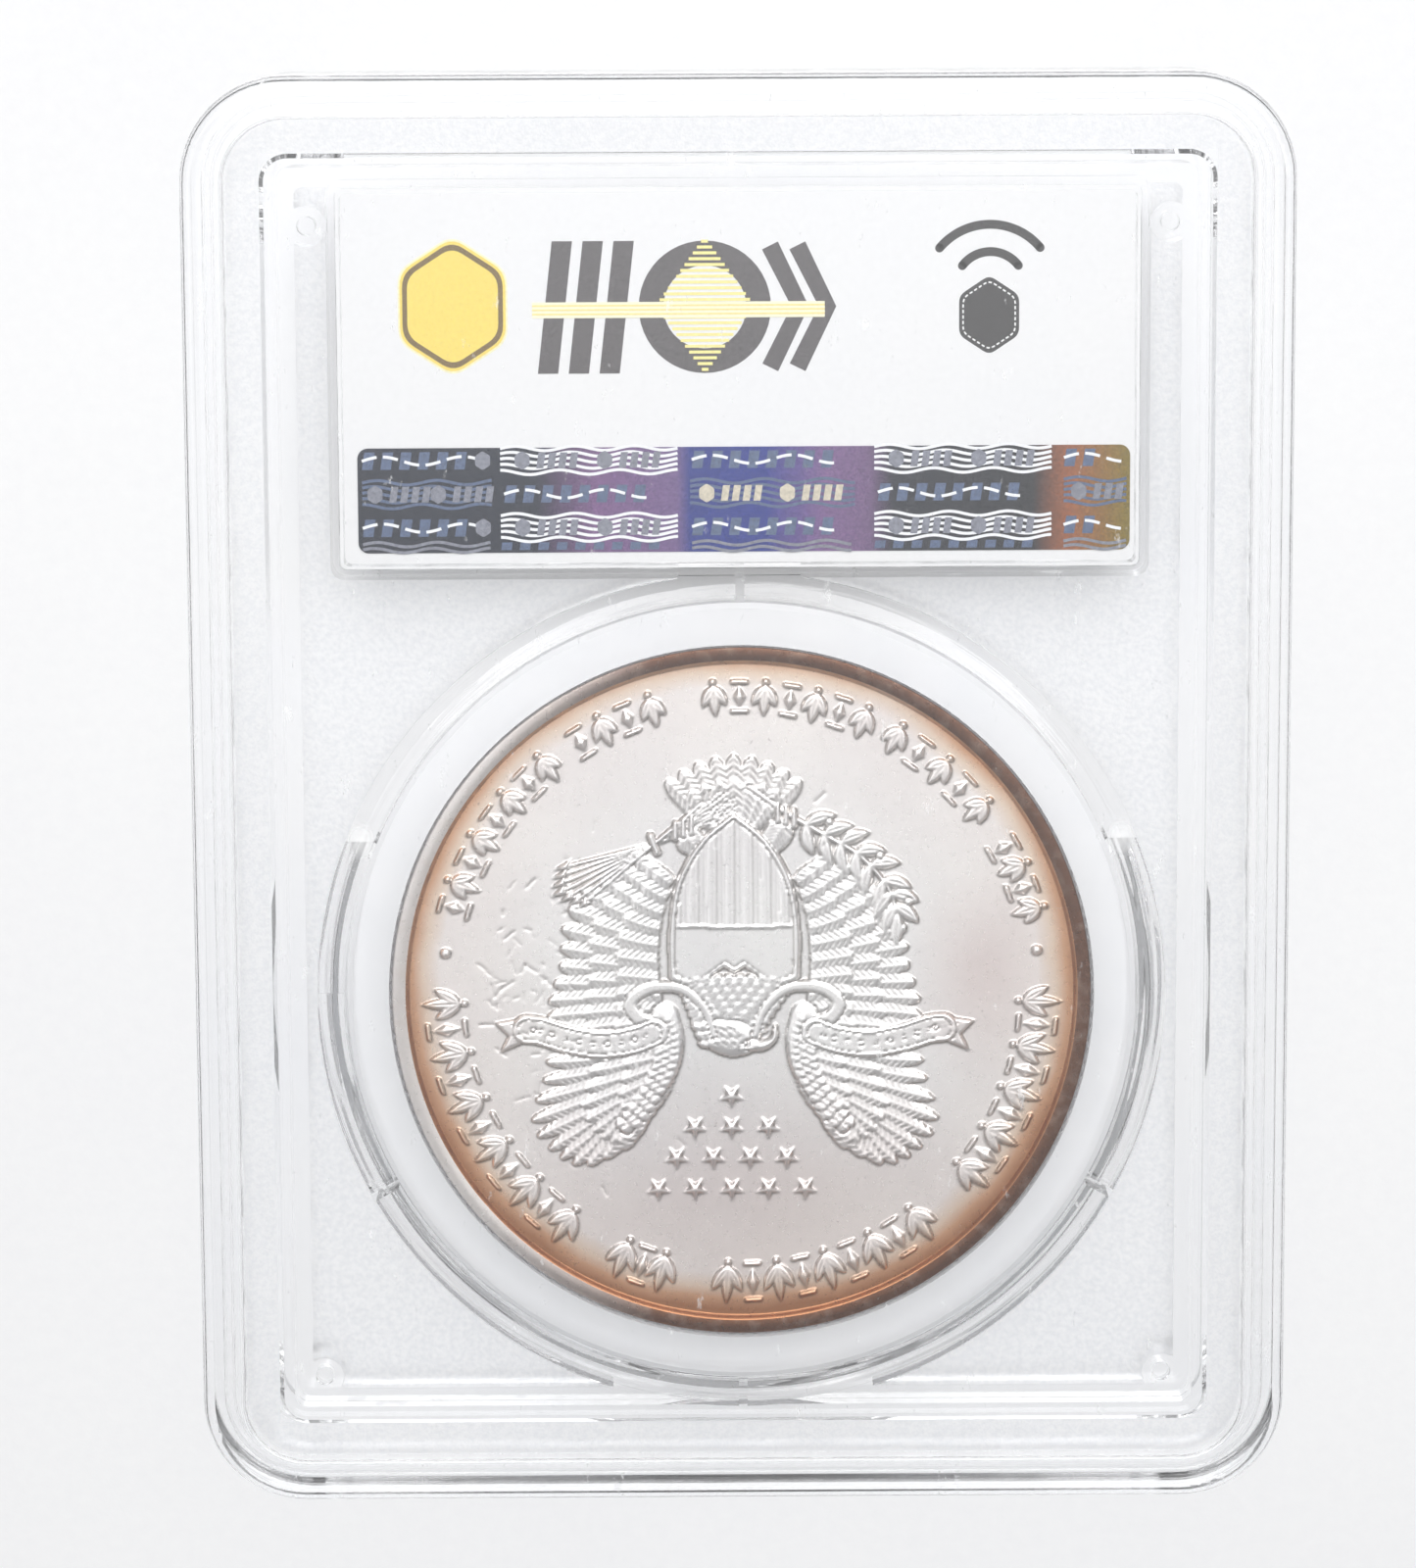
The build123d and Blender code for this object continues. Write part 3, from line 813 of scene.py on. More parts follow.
def clear_plastic():
    """Moulded polystyrene: polished, faintly smudged, and frosted where the mould was etched."""
    g = Graph("clear_polystyrene")
    frost = frosted_area(g)
    smudge = g.noise(9.0, 3.0)
    grain = g.noise(0.28, 2.0, 0.7)
    scuff = g.ramp(g.noise(1.1, 5.0, 0.7, stretch=(1, 0.4, 1)), [(0.66, 0.0), (0.72, 1.0)])
    polished = g.math("MULTIPLY_ADD", scuff, 0.20, g.math("MULTIPLY_ADD", smudge, 0.03, 0.004))
    rough = g.math("MULTIPLY_ADD", grain, 0.18, 0.26)
    spread = g.math("MULTIPLY", frost, g.math("SUBTRACT", rough, polished))
    clear = g.ramp(smudge, [(0.3, (0.988, 0.992, 1.0)), (0.7, (1.0, 1.0, 1.0))])
    etched = g.ramp(grain, [(0.36, (0.86, 0.87, 0.89)), (0.64, (1.0, 1.0, 1.0))])
    cloudy = g.math("MAXIMUM", g.math("MULTIPLY", frost, FROST_HAZE), g.math("MULTIPLY", scuff, 0.4))
    wall_end, streaks, rib_mark = well_wall_marks(g)
    cloudy = g.math("MAXIMUM", cloudy, g.math("MULTIPLY", rib_mark, 0.7))
    g.set(
        Base_Color=g.mix(frost, clear, etched),
        Transmission_Weight=g.math("SUBTRACT", 1.0 - CLEAR_HAZE, cloudy),
        IOR=1.57,
        Specular_IOR_Level=CLEAR_GLOSS,
        Roughness=g.math("ADD", polished, spread),
    )
    normal = g.node("SeparateXYZ", Vector=g.node("NewGeometry").outputs["Normal"])
    upright = g.math("LESS_THAN", g.math("ABSOLUTE", normal.outputs["Z"]), 0.5)
    ripple = g.math("MULTIPLY", upright, g.noise(2.4, 1.0, stretch=(1, 1, 0.3)))
    waves = g.math("MULTIPLY_ADD", wall_end, streaks, ripple)
    g.bump(g.math("ADD", g.math("MULTIPLY", frost, g.math("MULTIPLY", grain, 0.4)), waves), 0.08, 0.8)
    g.let_light_in()
    return g.material


def ring_plastic():
    """The milky plastic of the coin's ring."""
    g = Graph("milky_ring")
    haze = g.noise(3.0, 3.0)
    g.set(
        Base_Color=g.ramp(haze, [(0.3, (0.955, 0.96, 0.975)), (0.7, (0.99, 0.99, 1.0))]),
        Transmission_Weight=1.0 - RING_HAZE,
        IOR=1.45,
        Specular_IOR_Level=CLEAR_GLOSS,
        Roughness=g.math("MULTIPLY_ADD", haze, 0.08, 0.16),
    )
    g.bump(g.noise(0.6, 2.0), 0.004, 0.3)
    g.let_light_in()
    return g.material


def weld_plastic():
    """Polystyrene that has melted and set again: a faint cloud in the clear wall."""
    g = Graph("weld_bead")
    cloud = g.noise(1.2, 3.0)
    g.set(
        Base_Color=g.ramp(cloud, [(0.3, (0.80, 0.81, 0.83)), (0.7, (0.92, 0.92, 0.93))]),
        Roughness=g.math("MULTIPLY_ADD", cloud, 0.3, 0.2),
        Alpha=g.math("MULTIPLY_ADD", cloud, 0.20, 0.04),
    )
    g.bump(cloud, 0.03, 0.5)
    return g.material


def coin_silver():
    """Struck silver: satin lustre that turns amber and then brown towards the rim, with a few stains and
    painted shade in the hollows of the relief.
    """
    g = Graph("toned_silver")
    x, y = g.axes()[:2]
    off_axis, radius = from_coin(g, x, y)
    wander = g.math("MULTIPLY_ADD", g.noise(6.0, 3.0), 1.2, -0.6)
    reach = g.math("ADD", radius, g.math("MULTIPLY_ADD", off_axis, -0.030, wander))
    tone = g.ramp(
        g.math("DIVIDE", reach, COIN_R),
        [
            (0.0, (0.93, 0.92, 0.905)),
            (0.5, (0.935, 0.915, 0.90)),
            (0.850, (0.94, 0.885, 0.85)),
            (0.897, (0.84, 0.68, 0.55)),
            (0.927, (0.66, 0.38, 0.23)),
            (0.956, (0.42, 0.19, 0.09)),
        ],
    )
    # Two broad patches, darker and tinted mauve: one low on the coin, one on its right
    for centre, size, shade in (((0.5, -11.5), (13.0, 8.5), 0.85), ((13.8, 1.0), (4.5, 6.5), 0.90)):
        patch = g.patch(x, off_axis, centre, size)
        tint = (shade, shade * 0.94, shade * 0.935)
        tone = g.mix(patch, tone, g.mix(1.0, tone, tint, "MULTIPLY"))
    leftward = g.math("MULTIPLY_ADD", x, -0.10, -0.5, clamp=True)
    rim = g.mix(leftward, (0.14, 0.062, 0.035), (0.74, 0.70, 0.67))
    rim = g.mix(g.math("GREATER_THAN", radius, COIN_R - 0.17), rim, (0.52, 0.50, 0.50))
    on_rim = g.math("GREATER_THAN", radius, COIN_R - RIM_W + 0.22)
    worn = g.ramp(g.noise(0.9, 4.0), [(0.5, 0.0), (0.75, 0.2)])
    tone = g.mix(on_rim, tone, g.mix(worn, rim, (0.62, 0.52, 0.44)))
    cloud = g.ramp(g.noise(7.0, 4.0), [(0.35, (0.95, 0.94, 0.945)), (0.6, (1.0, 1.0, 1.0))])
    stain = g.ramp(g.noise(0.9, 5.0, 0.7), [(0.27, (0.62, 0.6, 0.6)), (0.33, (1.0, 1.0, 1.0))])
    # Painted shade: the hollows of the relief are darkened, to bring out detail too fine to shade by itself
    hollow_shade = g.node("Attribute")
    hollow_shade.attribute_name = "hollow_shade"
    shade = g.ramp(hollow_shade.outputs["Fac"], [(0.0, (1.0, 1.0, 1.0)), (1.0, (0.50, 0.485, 0.475))])
    colour = g.mix(1.0, g.mix(1.0, tone, cloud, "MULTIPLY"), stain, "MULTIPLY")
    colour = g.mix(1.0, colour, shade, "MULTIPLY")
    satin = g.noise(0.25, 3.0, 0.6)
    g.set(
        Base_Color=colour,
        Metallic=1.0,
        Roughness=g.math("MULTIPLY_ADD", satin, 0.12, 0.23),
    )
    g.bump(satin, 0.005, 0.3)
    return g.material


def white_card():
    """Coated white card."""
    g = Graph("white_card")
    fibre = g.noise(0.35, 4.0, 0.65)
    g.set(
        Base_Color=g.ramp(fibre, [(0.3, (0.82, 0.82, 0.825)), (0.7, (0.865, 0.865, 0.87))]),
        Roughness=g.math("MULTIPLY_ADD", fibre, 0.15, 0.5),
    )
    g.bump(fibre, 0.008, 0.4)
    return g.material


def grained(name, grain, colours, gloss, rise, metallic=0.0):
    """A plain surface with a fine grain in its colour, gloss and relief."""
    g = Graph(name)
    speck = g.noise(*grain)
    g.set(
        Base_Color=g.ramp(speck, [(0.3, colours[0]), (0.7, colours[1])]),
        Metallic=metallic,
        Roughness=g.math("MULTIPLY_ADD", speck, 0.2, gloss),
    )
    g.bump(speck, rise, 0.3)
    return g.material


def ink(name, colour, spread=0.12, gloss=0.45):
    """A printed ink, a little uneven where the card shows through."""
    light = tuple(min(1.0, c * (1 + spread) + 0.01) for c in colour)
    dark = tuple(c * (1 - spread) for c in colour)
    return grained(name, (0.22, 3.0, 0.7), (dark, light), gloss, 0.004)


def thin_film():
    """Matt polyester film."""
    return grained("polyester_film", (1.0, 3.0), ((0.78, 0.79, 0.80), (0.84, 0.85, 0.85)), 0.3, 0.004)


def tag_metal():
    """Etched aluminium track."""
    grain = (0.2, 3.0, 0.5, (1, 6, 1))
    return grained("etched_aluminium", grain, ((0.76, 0.76, 0.77), (0.86, 0.86, 0.87)), 0.25, 0.003, 1.0)


def tag_die():
    """Bare silicon."""
    return grained("silicon_die", (0.1, 2.0), ((0.03, 0.03, 0.04), (0.07, 0.07, 0.09)), 0.2, 0.002)


def foil():
    """Dark holographic foil, with painted bands of rainbow sheen whose colour drifts along its length."""
    g = Graph("security_foil")
    width = STRIP_HIGH[0] - STRIP_LOW[0]
    along = g.math("DIVIDE", g.math("SUBTRACT", g.axes()[0], STRIP_LOW[0]), width)
    drift = g.math("MULTIPLY_ADD", g.noise(2.5, 2.0, stretch=(1, 0.2, 1)), 0.03, -0.015)
    # Painted sheen: the purple, blue and amber bands stand in for the colours the hologram throws back; the
    # near-black between is the foil's own colour
    hue = g.ramp(
        g.math("ADD", along, drift),
        [
            (0.00, (0.010, 0.015, 0.030)),
            (0.23, (0.012, 0.018, 0.036)),
            (0.31, (0.170, 0.085, 0.220)),
            (0.41, (0.150, 0.095, 0.240)),
            (0.43, (0.016, 0.034, 0.230)),
            (0.53, (0.016, 0.034, 0.250)),
            (0.60, (0.180, 0.100, 0.250)),
            (0.66, (0.150, 0.090, 0.200)),
            (0.69, (0.018, 0.022, 0.034)),
            (0.88, (0.020, 0.022, 0.028)),
            (0.92, (0.300, 0.100, 0.040)),
            (1.00, (0.200, 0.150, 0.020)),
        ],
    )
    fine = g.ramp(g.noise(0.12, 2.0), [(0.35, (0.8, 0.8, 0.85)), (0.65, (1.25, 1.2, 1.15))])
    g.set(
        Base_Color=g.mix(1.0, hue, fine, "MULTIPLY"),
        Metallic=0.25,
        Specular_IOR_Level=0.2,
        Roughness=g.math("MULTIPLY_ADD", g.noise(1.5, 2.0), 0.1, 0.22),
    )
    g.bump(g.noise(0.1, 1.0), 0.002, 0.25)
    return g.material


def paper_floor():
    """The white paper that the holder lies on."""
    g = Graph("white_paper")
    fibre = g.noise(0.9, 5.0, 0.65)
    broad = g.noise(30.0, 2.0)
    tone = g.ramp(broad, [(0.3, (0.90, 0.90, 0.905)), (0.7, (0.92, 0.92, 0.92))])
    fine = g.ramp(fibre, [(0.3, (0.975, 0.975, 0.98)), (0.7, (1.0, 1.0, 1.0))])
    g.set(Base_Color=g.mix(1.0, tone, fine, "MULTIPLY"), Roughness=0.85, Specular_IOR_Level=0.15)
    g.bump(fibre, 0.05, 0.35)
    return g.material


# ---------------------------------------------------------------- coin

def disc_grid(count):
    """A grid bent to a disc of unit radius, with its border on the circle."""
    side = np.linspace(-1, 1, count)
    a, b = np.meshgrid(side, side)
    return a * np.sqrt(1 - b**2 / 2), b * np.sqrt(1 - a**2 / 2)


def softened(height, times):
    """A grid of heights, blurred a little."""
    for _ in range(times):
        p = np.pad(height, 1, mode="edge")
        sides = p[:-2, 1:-1] + p[2:, 1:-1] + p[1:-1, :-2] + p[1:-1, 2:]
        height = (sides + 4 * height) / 8
    return height


def grid_quads(count, start, downward):
    """A grid's faces."""
    grid = np.arange(count * count).reshape(count, count) + start
    quads = np.stack([grid[:-1, :-1], grid[:-1, 1:], grid[1:, 1:], grid[1:, :-1]], -1).reshape(-1, 4)
    return (quads[:, ::-1] if downward else quads).tolist()


def grid_border(count, start):
    """The indices of a grid's border, counterclockwise."""
    grid = np.arange(count * count).reshape(count, count) + start
    return np.concatenate([grid[0, :-1], grid[:-1, -1], grid[-1, :0:-1], grid[:0:-1, 0]])


def rim_rows():
    """Radius, height and reeding of each ring of points, from the rear field over the edge to the front."""
    inner = COIN_R - RIM_W
    face = [(inner + 0.07, 0.16, 0), (inner + 0.14, 0.04, 0), (inner + 0.24, 0.0, 0), (COIN_R - 0.28, 0.0, 0)]
    face += [(COIN_R - 0.20, 0.02, 0), (COIN_R - 0.14, 0.06, 0), (COIN_R - 0.10, CHAMFER, 0.2)]
    face += [(COIN_R - 0.02, CHAMFER + 0.08, 1)]
    rear = [(radius, COIN_HIGH[2] - drop, reeded) for radius, drop, reeded in face]
    front = [(radius, COIN_LOW[2] + drop, reeded) for radius, drop, reeded in face[::-1]]
    return rear + front


def make_coin(material):
    """The struck coin: one closed skin of two relief faces, raised rims and a reeded edge."""
    field = COIN_R - RIM_W
    u, v = (axis * field for axis in disc_grid(REAR_GRID))
    bird = np.minimum(softened(paint_bird_side(u, v), 1), FIELD_DROP)
    # Painted shade for the relief's hollows: how far each point lies below its blurred surroundings
    hollow_shade = np.clip((softened(bird, 4) - bird) / 0.03, 0, 1)
    basin = 0.03 * ((u**2 + v**2) / field**2 - 1)
    points = [np.stack([u, v, COIN_HIGH[2] - FIELD_DROP + basin + bird], -1).reshape(-1, 3)]
    border = grid_border(REAR_GRID, 0)
    angles = np.arctan2(v.ravel()[border], u.ravel()[border])
    reed = 0.5 - 0.5 * np.cos(REEDS * angles)
    faces = grid_quads(REAR_GRID, 0, False)
    around = len(border)
    last = border
    start = REAR_GRID**2
    for radius, level, reeded in rim_rows():
        size = radius - REED_DEPTH * reeded * reed
        points.append(np.stack([size * np.cos(angles), size * np.sin(angles), np.full(around, level)], -1))
        ring = start + np.arange(around)
        faces += np.stack([last, ring, np.roll(ring, -1), np.roll(last, -1)], -1).tolist()
        last = ring
        start += around
    u, v = (axis * field for axis in disc_grid(FRONT_GRID))
    wreath = softened(paint_wreath_side(u, -v), 1)
    points.append(np.stack([u, v, COIN_LOW[2] + FIELD_DROP - wreath], -1).reshape(-1, 3))
    faces += grid_quads(FRONT_GRID, start, True)
    inner = grid_border(FRONT_GRID, start)
    ahead = np.roll(inner, -1)
    faces += np.stack([last[0::2], inner, last[1::2]], -1).tolist()
    faces += np.stack([last[1::2], inner, ahead], -1).tolist()
    faces += np.stack([last[1::2], ahead, np.roll(last[0::2], -1)], -1).tolist()
    points = np.concatenate(points)
    turn = math.radians(COIN_TURN)
    x = points[:, 0] * math.cos(turn) - points[:, 1] * math.sin(turn)
    y = points[:, 0] * math.sin(turn) + points[:, 1] * math.cos(turn) + COIN_Y
    coin = make_object("struck_coin", np.stack([x, y, points[:, 2]], -1), faces, material, smooth=True)
    # The painted shade of the hollows rides on the points for the material; the other face gets none
    shade = np.zeros(len(points))
    shade[: REAR_GRID**2] = hollow_shade.ravel()
    coin.data.attributes.new("hollow_shade", "FLOAT", "POINT").data.foreach_set("value", shade)
    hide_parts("coin")


# ---------------------------------------------------------------- weld

def edge_path(inset, spacing=0.8):
    """Points round the holder at a distance in from its wall, counterclockwise."""
    path = []
    for i, (sx, sy) in enumerate(((1, -1), (1, 1), (-1, 1), (-1, -1))):
        centre = (sx * (HALF_W - CORNER_R), sy * (HALF_L - CORNER_R))
        path += arc(centre, CORNER_R - inset, 90 * i - 90, 90 * i, 12).tolist()
    loop = Loop(path)
    return loop.at(np.linspace(0, loop.length, int(loop.length / spacing), endpoint=False))


def make_weld(material):
    """The bead of melted plastic in the joint, uneven along its run."""
    chance = np.random.default_rng(3)
    middle = edge_path(BEAD_IN + BEAD_W / 2)
    run = np.roll(middle, -1, axis=0) - np.roll(middle, 1, axis=0)
    run /= np.linalg.norm(run, axis=1)[:, None]
    out = np.stack([run[:, 1], -run[:, 0]], 1)
    count = len(middle)
    wide = BEAD_W / 2 - 0.05 - 0.06 * chance.random(count)
    tall = (BEAD_HIGH[2] - BEAD_LOW[2]) / 2 - 0.015 - 0.02 * chance.random(count)
    level = (BEAD_HIGH[2] + BEAD_LOW[2]) / 2
    points = []
    for k in range(8):
        turn = math.tau * k / 8
        place = middle + out * (wide * math.cos(turn))[:, None]
        points.append(np.column_stack([place, level + tall * math.sin(turn)]))
    faces = []
    for k in range(8):
        a = k * count
        b = (k + 1) % 8 * count
        for i in range(count):
            j = (i + 1) % count
            faces.append([a + i, a + j, b + j, b + i])
    bead = make_object("melted_bead", np.concatenate(points), faces, material, smooth=True)
    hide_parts("weld_seam")


# ---------------------------------------------------------------- printing on the rear label

def dot(prisms, centre, radius, sides=12):
    """A round spot."""
    prisms.outline(polygon(centre, (radius,), sides))


def capped_line(prisms, path, width):
    """A stroke with round ends."""
    prisms.line(path, width)
    for end in (path[0], path[-1]):
        dot(prisms, end, width / 2)


def hexagon(centre, width, height, corner=0.3):
    """A hexagon that stands on a point, with rounded corners."""
    radius = width / 2 / math.cos(math.radians(30))
    return rounded(polygon(centre, (radius,), 6, turn=30, stretch=height / 2 / radius), corner)


def grown(path, centre, scale):
    """A copy of an outline, scaled about a centre."""
    return [(centre[0] + (x - centre[0]) * scale, centre[1] + (y - centre[1]) * scale) for x, y in path]


def print_emblem(level):
    """A yellow hexagon with a dark line near its edge and a pale halo."""
    centre = (-16.2, 27.95)
    badge = hexagon(centre, 6.0, 7.8, 0.8)
    halo = Prisms(level)
    halo.outline(grown(badge, centre, 1.035))
    halo.make("emblem_halo", ink("pale_yellow_ink", (0.93, 0.85, 0.55)))
    field = Prisms(level + INK_T)
    field.outline(badge)
    field.make("emblem_field", ink("yellow_ink", (0.90, 0.69, 0.11), 0.06))
    line = Prisms(level + 2 * INK_T)
    line.strip(grown(badge, centre, 0.86), grown(badge, centre, 0.95), closed=True)
    line.make("emblem_line", ink("olive_ink", (0.16, 0.095, 0.012)))


def print_device(level):
    """A row of plain dark figures, crossed by a pale stripe, with a hatched lozenge among them."""
    dark = Prisms(level)
    for k in range(3):
        x = -11.4 + 1.75 * k
        dark.outline([(x, 24.1), (x + 1.15, 24.1), (x + 2.0, 31.6), (x + 0.85, 31.6)])
    centre = (-1.9, 27.85)
    dark.strip(arc(centre, 2.35, 0, 352, 48).tolist(), arc(centre, 3.75, 0, 352, 48).tolist(), closed=True)
    for k in range(2):
        x = 2.0 + 1.55 * k
        dark.line([(x - 0.2, 31.3), (x + 1.5, 27.85), (x - 0.2, 24.4)], 1.0)
    dark.make("device_dark", ink("charcoal_ink", (0.070, 0.062, 0.066), 0.35))
    pale = Prisms(level + INK_T)
    for k in range(23):
        y = centre[1] - 3.63 + 0.33 * k
        reach = 2.8 * (1 - abs(y - centre[1]) / 3.9)
        pale.bar(centre[0] - reach, y, centre[0] + reach, y + 0.17)
    pale.make("device_hatch", ink("lemon_ink", (0.93, 0.82, 0.30), 0.08))
    bar = Prisms(level + 2 * INK_T)
    bar.bar(-11.7, 27.25, 4.9, 28.15)
    bar.make("device_bar", ink("cream_ink", (0.95, 0.90, 0.66), 0.05))
    lines = Prisms(level + 3 * INK_T)
    for y in (27.42, 27.66, 27.90):
        lines.bar(-11.7, y, 4.9, y + 0.10)
    lines.make("device_bar_lines", ink("straw_ink", (0.90, 0.76, 0.28), 0.08))


def print_tag_sign(level):
    """The sign that a tag may be read here: two arcs over a small dark hexagon with a stitched edge."""
    sign = Prisms(level)
    capped_line(sign, arc((14.25, 28.71), 3.72, 40, 140, 40), 0.50)
    capped_line(sign, arc((14.28, 28.90), 1.99, 37, 143, 28), 0.50)
    centre = (14.22, 27.30)
    badge = hexagon(centre, 3.4, 4.5, 0.4)
    sign.outline(badge)
    sign.make("tag_sign", ink("black_ink", (0.010, 0.009, 0.010), 0.4))
    stitches = Prisms(level + INK_T)
    edge = Loop(grown(badge, centre, 0.87))
    count = 34
    for k in range(count):
        stitches.line(edge.at(np.linspace(k, k + 0.62, 3) / count * edge.length), 0.09)
    stitches.make("tag_sign_stitches", ink("white_ink", (0.85, 0.85, 0.85)))


# ---------------------------------------------------------------- marks on the foil strip

ROW_DROPS = (0.72, 2.64, 4.56)
BLOCK_STARTS = (-13.6, 7.7)


def wave(start, end, y, height, length, phase=0.0, steps=60):
    """Points along a shallow wave."""
    x = np.linspace(start, end, steps)
    return np.stack([x, y + height * np.sin(math.tau * (x - start) / length + phase)], 1)


def dashes(prisms, start, end, y):
    """One broken wavy line."""
    dash = 0.85
    x = start
    while x + dash < end:
        t = np.linspace(x, x + dash, 8)
        prisms.line(np.stack([t, y + 0.24 * np.sin(math.tau * (t - start) / 4.6)], 1), 0.17)
        x += dash + 0.36


def hatch(prisms, start, end, y, lines=5):
    """A block of parallel wavy lines."""
    for k in range(lines):
        level = y + 0.34 * (2 - k)
        prisms.line(wave(start, end, level, 0.13, 3.4, 0.4 * k), 0.17)


def leaning_bars(prisms, start, y, count, step, width, tall):
    """A row of upright bars that lean to the right."""
    for k in range(count):
        x = start + step * k
        lean = 0.3 * tall
        corners = [(x, y - tall), (x + width, y - tall), (x + width + lean, y + tall), (x + lean, y + tall)]
        prisms.outline(corners)


def figures(prisms, start, y, bars=4):
    """A small hexagon with leaning bars after it."""
    prisms.outline(hexagon((start + 0.45, y), 0.86, 1.1, 0.12))
    leaning_bars(prisms, start + 1.25, y, bars, 0.62, 0.40, 0.45)


def mark_strip(level):
    """Bands of wavy dashes, wavy hatching and small figures, as a foil carries them against copying."""
    top = STRIP_HIGH[1]
    left = STRIP_LOW[0] + 0.25
    right = STRIP_HIGH[0] - 0.2
    ghost = Prisms(level)
    white = Prisms(level + INK_T)
    grey = Prisms(level + 2 * INK_T)
    gold = Prisms(level + 2 * INK_T)
    for drop in (ROW_DROPS[0], ROW_DROPS[2]):
        y = top - drop
        for start, end in ((left, -14.2), (-2.7, 6.4), (18.5, right)):
            leaning_bars(ghost, start, y, int((end - start - 0.6) / 1.05), 1.05, 0.6, 0.5)
            dashes(white, start, end, y)
        for start in BLOCK_STARTS:
            hatch(white, start, start + 10.1, y)
            for shift in (0.8, 5.5):
                figures(grey, start + shift, y)
        grey.outline(hexagon((-14.6, y), 0.86, 1.1, 0.12))
    y = top - ROW_DROPS[1]
    for start in (-13.4, 7.9):
        leaning_bars(ghost, start, y, 8, 1.05, 0.6, 0.5)
        dashes(white, start, start + 9.2, y)
    for start, end in ((left, -14.1), (-2.8, 6.6), (18.5, right)):
        hatch(ghost, start, end, y)
    for start, bars in ((-21.2, 4), (-17.6, 4), (18.9, 3)):
        figures(grey, start, y, bars)
    for start in (-2.3, 2.3):
        figures(gold, start, y)
    low = STRIP_LOW[1] - 0.50
    for start in BLOCK_STARTS:
        leaning_bars(ghost, start, low + 0.87, 9, 1.05, 0.6, 0.22)
    for start, end in ((left, -14.2), (-2.7, 6.4), (18.5, right)):
        hatch(grey, start, end, low + 0.32, lines=2)
    white.make("strip_white", ink("foil_white", (0.90, 0.91, 0.94), 0.06, 0.3))
    grey.make("strip_grey", ink("foil_grey", (0.20, 0.21, 0.26), 0.3, 0.3))
    gold.make("strip_gold", ink("foil_gold", (0.62, 0.56, 0.44), 0.2, 0.3))
    ghost.make("strip_ghost", ink("foil_ghost", (0.060, 0.100, 0.200), 0.3, 0.3))


# ---------------------------------------------------------------- printing on the front label

def print_front(level):
    """Plain bars, a row of thin upright lines and a hexagon on the side that faces down."""
    dark = Prisms(level - INK_T)
    for k, length in enumerate((17.0, 12.5, 14.5)):
        y = 31.0 - 3.0 * k
        dark.bar(-3.0 - length / 2, y - 0.7, -3.0 + length / 2, y + 0.7)
    chance = np.random.default_rng(11)
    x = -20.0
    while x < 4.0:
        wide = 0.18 + 0.30 * chance.random()
        dark.bar(x, 15.2, x + wide, 20.2)
        x += wide + 0.22 + 0.30 * chance.random()
    dark.make("front_marks", ink("front_black_ink", (0.03, 0.03, 0.035), 0.3))
    badge = Prisms(level - INK_T)
    outer = hexagon((14.5, 24.0), 11.0, 13.5, 1.2)
    badge.strip(grown(outer, (14.5, 24.0), 0.86), outer, closed=True)
    badge.outline(grown(outer, (14.5, 24.0), 0.55))
    badge.make("front_badge", ink("front_blue_ink", (0.05, 0.12, 0.30), 0.15))


# ---------------------------------------------------------------- camera, light and floor

def make_camera():
    data = bpy.data.cameras.new("camera")
    data.lens = CAMERA_LENS
    data.clip_start = 0.01
    data.clip_end = 20
    camera = stand("camera", data)
    camera.location = Vector(CAMERA_AT) * MM
    camera.rotation_euler = [math.radians(a) for a in CAMERA_TURN]
    bpy.context.scene.camera = camera


def softbox(name, place, size, power):
    """A rectangular lamp that faces the holder."""
    data = bpy.data.lights.new(name, "AREA")
    data.shape = "RECTANGLE"
    data.size, data.size_y = size[0] * MM, size[1] * MM
    data.energy = power
    lamp = stand(name, data)
    lamp.location = Vector(place) * MM
    lamp.rotation_euler = (-lamp.location).to_track_quat("-Z", "Y").to_euler()


def sky_patch(sky, place, side, tilt, inner, outer, share):
    """A round, soft-edged part of the sky that is brighter or darker than the rest."""
    toward = Vector((math.tan(math.radians(side)), math.tan(math.radians(tilt)), 1)).normalized()
    facing = sky.node("VectorMath")
    facing.operation = "DOT_PRODUCT"
    sky.link(place, facing.inputs[0])
    sky.link(toward, facing.inputs[1])
    near, far = (math.cos(math.radians(angle)) for angle in (inner, outer))
    value = facing.outputs["Value"]
    return sky.node("MapRange", Value=value, From_Min=far, From_Max=near, To_Min=1.0, To_Max=share).outputs[0]


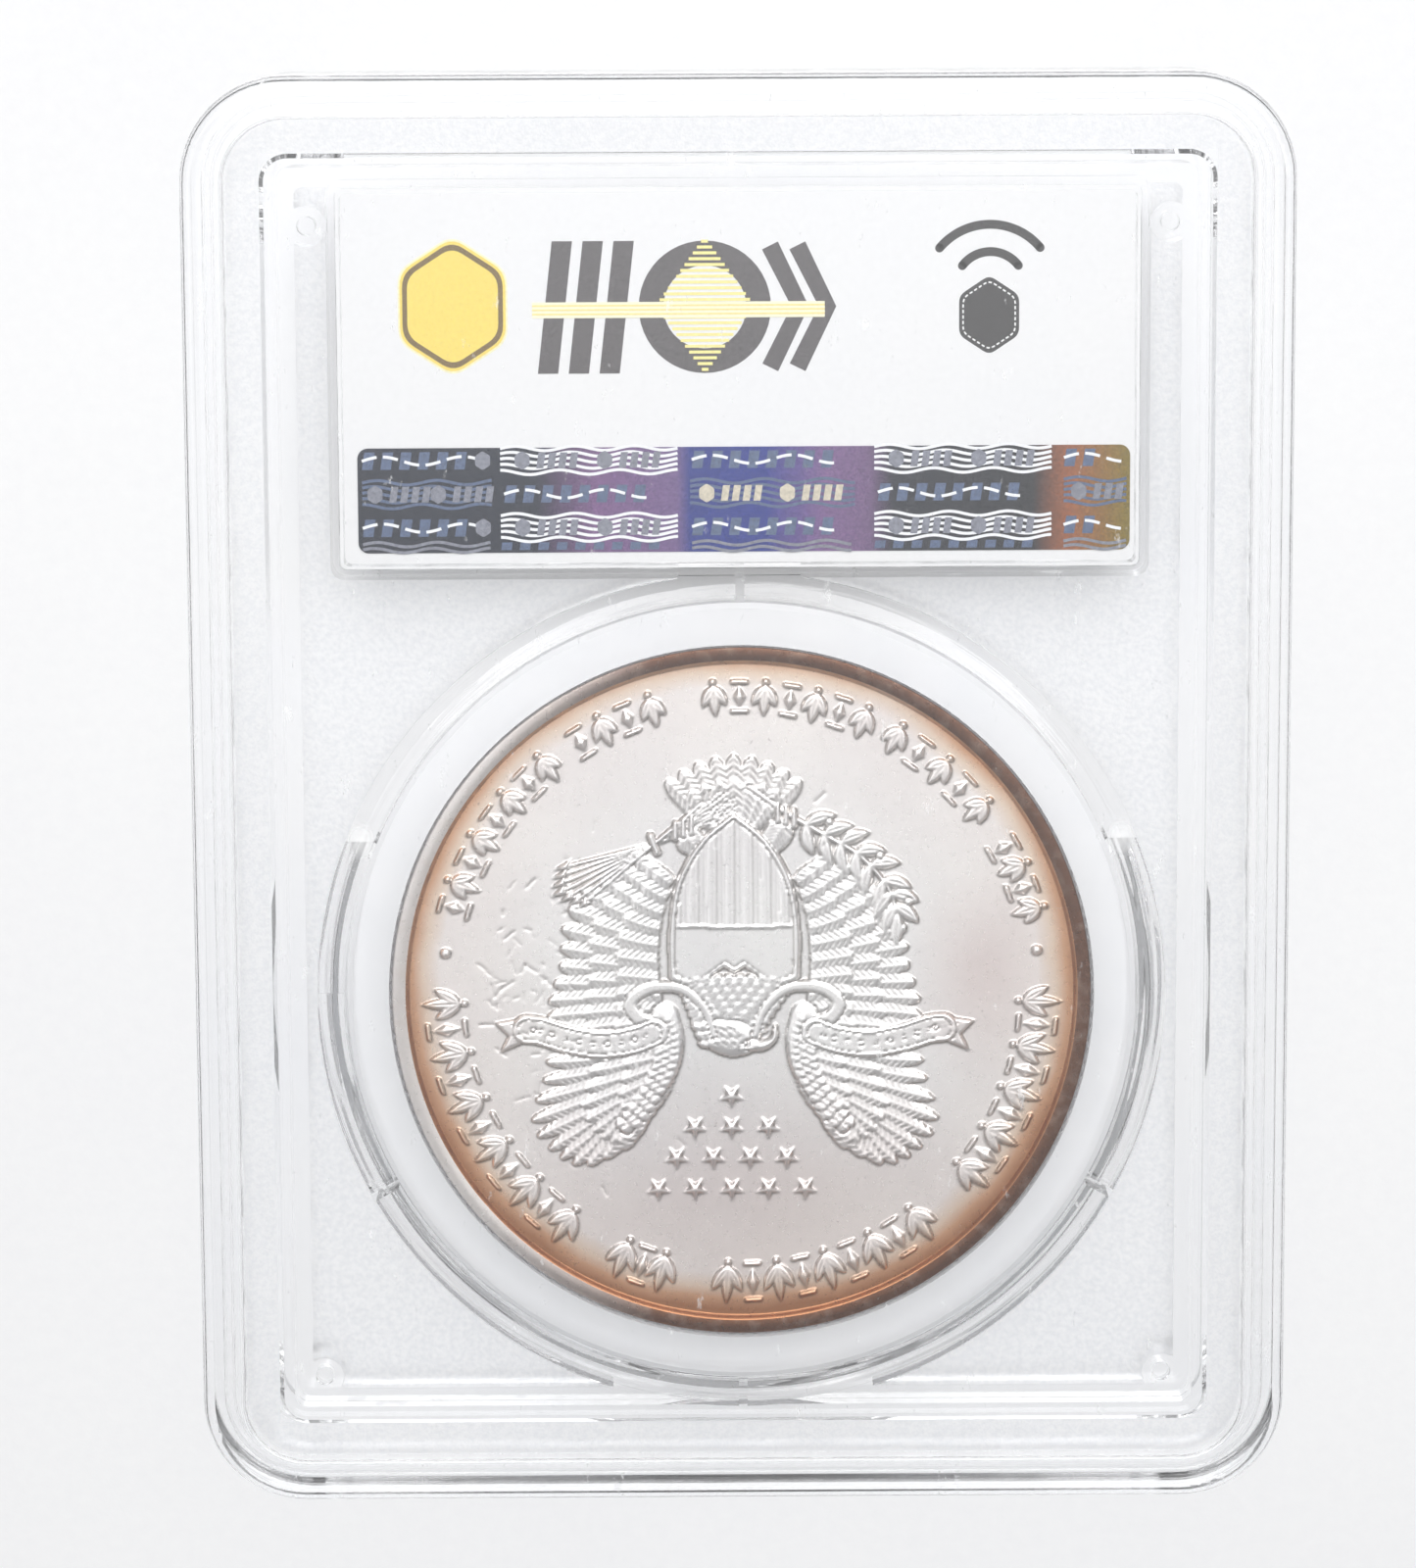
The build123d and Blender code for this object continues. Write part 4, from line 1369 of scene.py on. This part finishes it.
def make_sky():
    """A pale studio: dim towards the horizon and on the dark side of the room, and bright overhead."""
    world = bpy.data.worlds.new("studio")
    bpy.context.scene.world = world
    world.use_nodes = True
    sky = Tree(world.node_tree)
    place = sky.node("TexCoord").outputs["Generated"]
    level = sky.ramp(sky.node("SeparateXYZ", Vector=place).outputs["Z"], SKY_STEPS)
    for patch in SKY_PATCHES:
        level = sky.math("MULTIPLY", level, sky_patch(sky, place, *patch))
    back = world.node_tree.nodes["Background"]
    back.inputs["Color"].default_value = SKY_TINT
    sky.link(sky.math("MULTIPLY", level, CEILING), back.inputs["Strength"])


def make_floor():
    half = FLOOR_SIZE / 2 * MM
    mesh = bpy.data.meshes.new("floor")
    corners = [(-half, -half, 0), (half, -half, 0), (half, half, 0), (-half, half, 0)]
    mesh.from_pydata(corners, [], [(0, 1, 2, 3)])
    mesh.materials.append(paper_floor())
    stand("floor", mesh)


def set_tones():
    """Plain tones, so that white paper comes out white."""
    scene = bpy.context.scene
    scene.view_settings.view_transform = "Standard"
    scene.cycles.max_bounces = 18
    scene.cycles.transmission_bounces = 18
    scene.cycles.diffuse_bounces = 3
    scene.cycles.glossy_bounces = 6
    scene.cycles.transparent_max_bounces = 32


make_camera()
make_sky()
softbox("key", SOFTBOX_AT, SOFTBOX_SIZE, SOFTBOX_POWER)
softbox("fill", FILL_AT, FILL_SIZE, FILL_POWER)
make_floor()
set_tones()


def dress(node, material):
    """Gives a carried-over piece its material."""
    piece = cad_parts[node]
    piece.data.materials.clear()
    piece.data.materials.append(material)


plastic = clear_plastic()
silver = coin_silver()
card = white_card()
weld = weld_plastic()
dress("rear_shell", plastic)
dress("front_shell", plastic)
dress("weld_seam", weld)
dress("coin_ring", ring_plastic())
dress("coin", silver)
dress("rear_label", card)
dress("front_label", card)
dress("hologram_strip", foil())
dress("inlay_film", thin_film())
dress("inlay_adhesive", thin_film())
dress("inlay_antenna", tag_metal())
dress("inlay_chip", tag_die())
make_coin(silver)
make_weld(weld)
print_emblem(LABEL_HIGH[2])
print_device(LABEL_HIGH[2])
print_tag_sign(LABEL_HIGH[2])
mark_strip(STRIP_HIGH[2])
print_front(CARD_LOW[2])
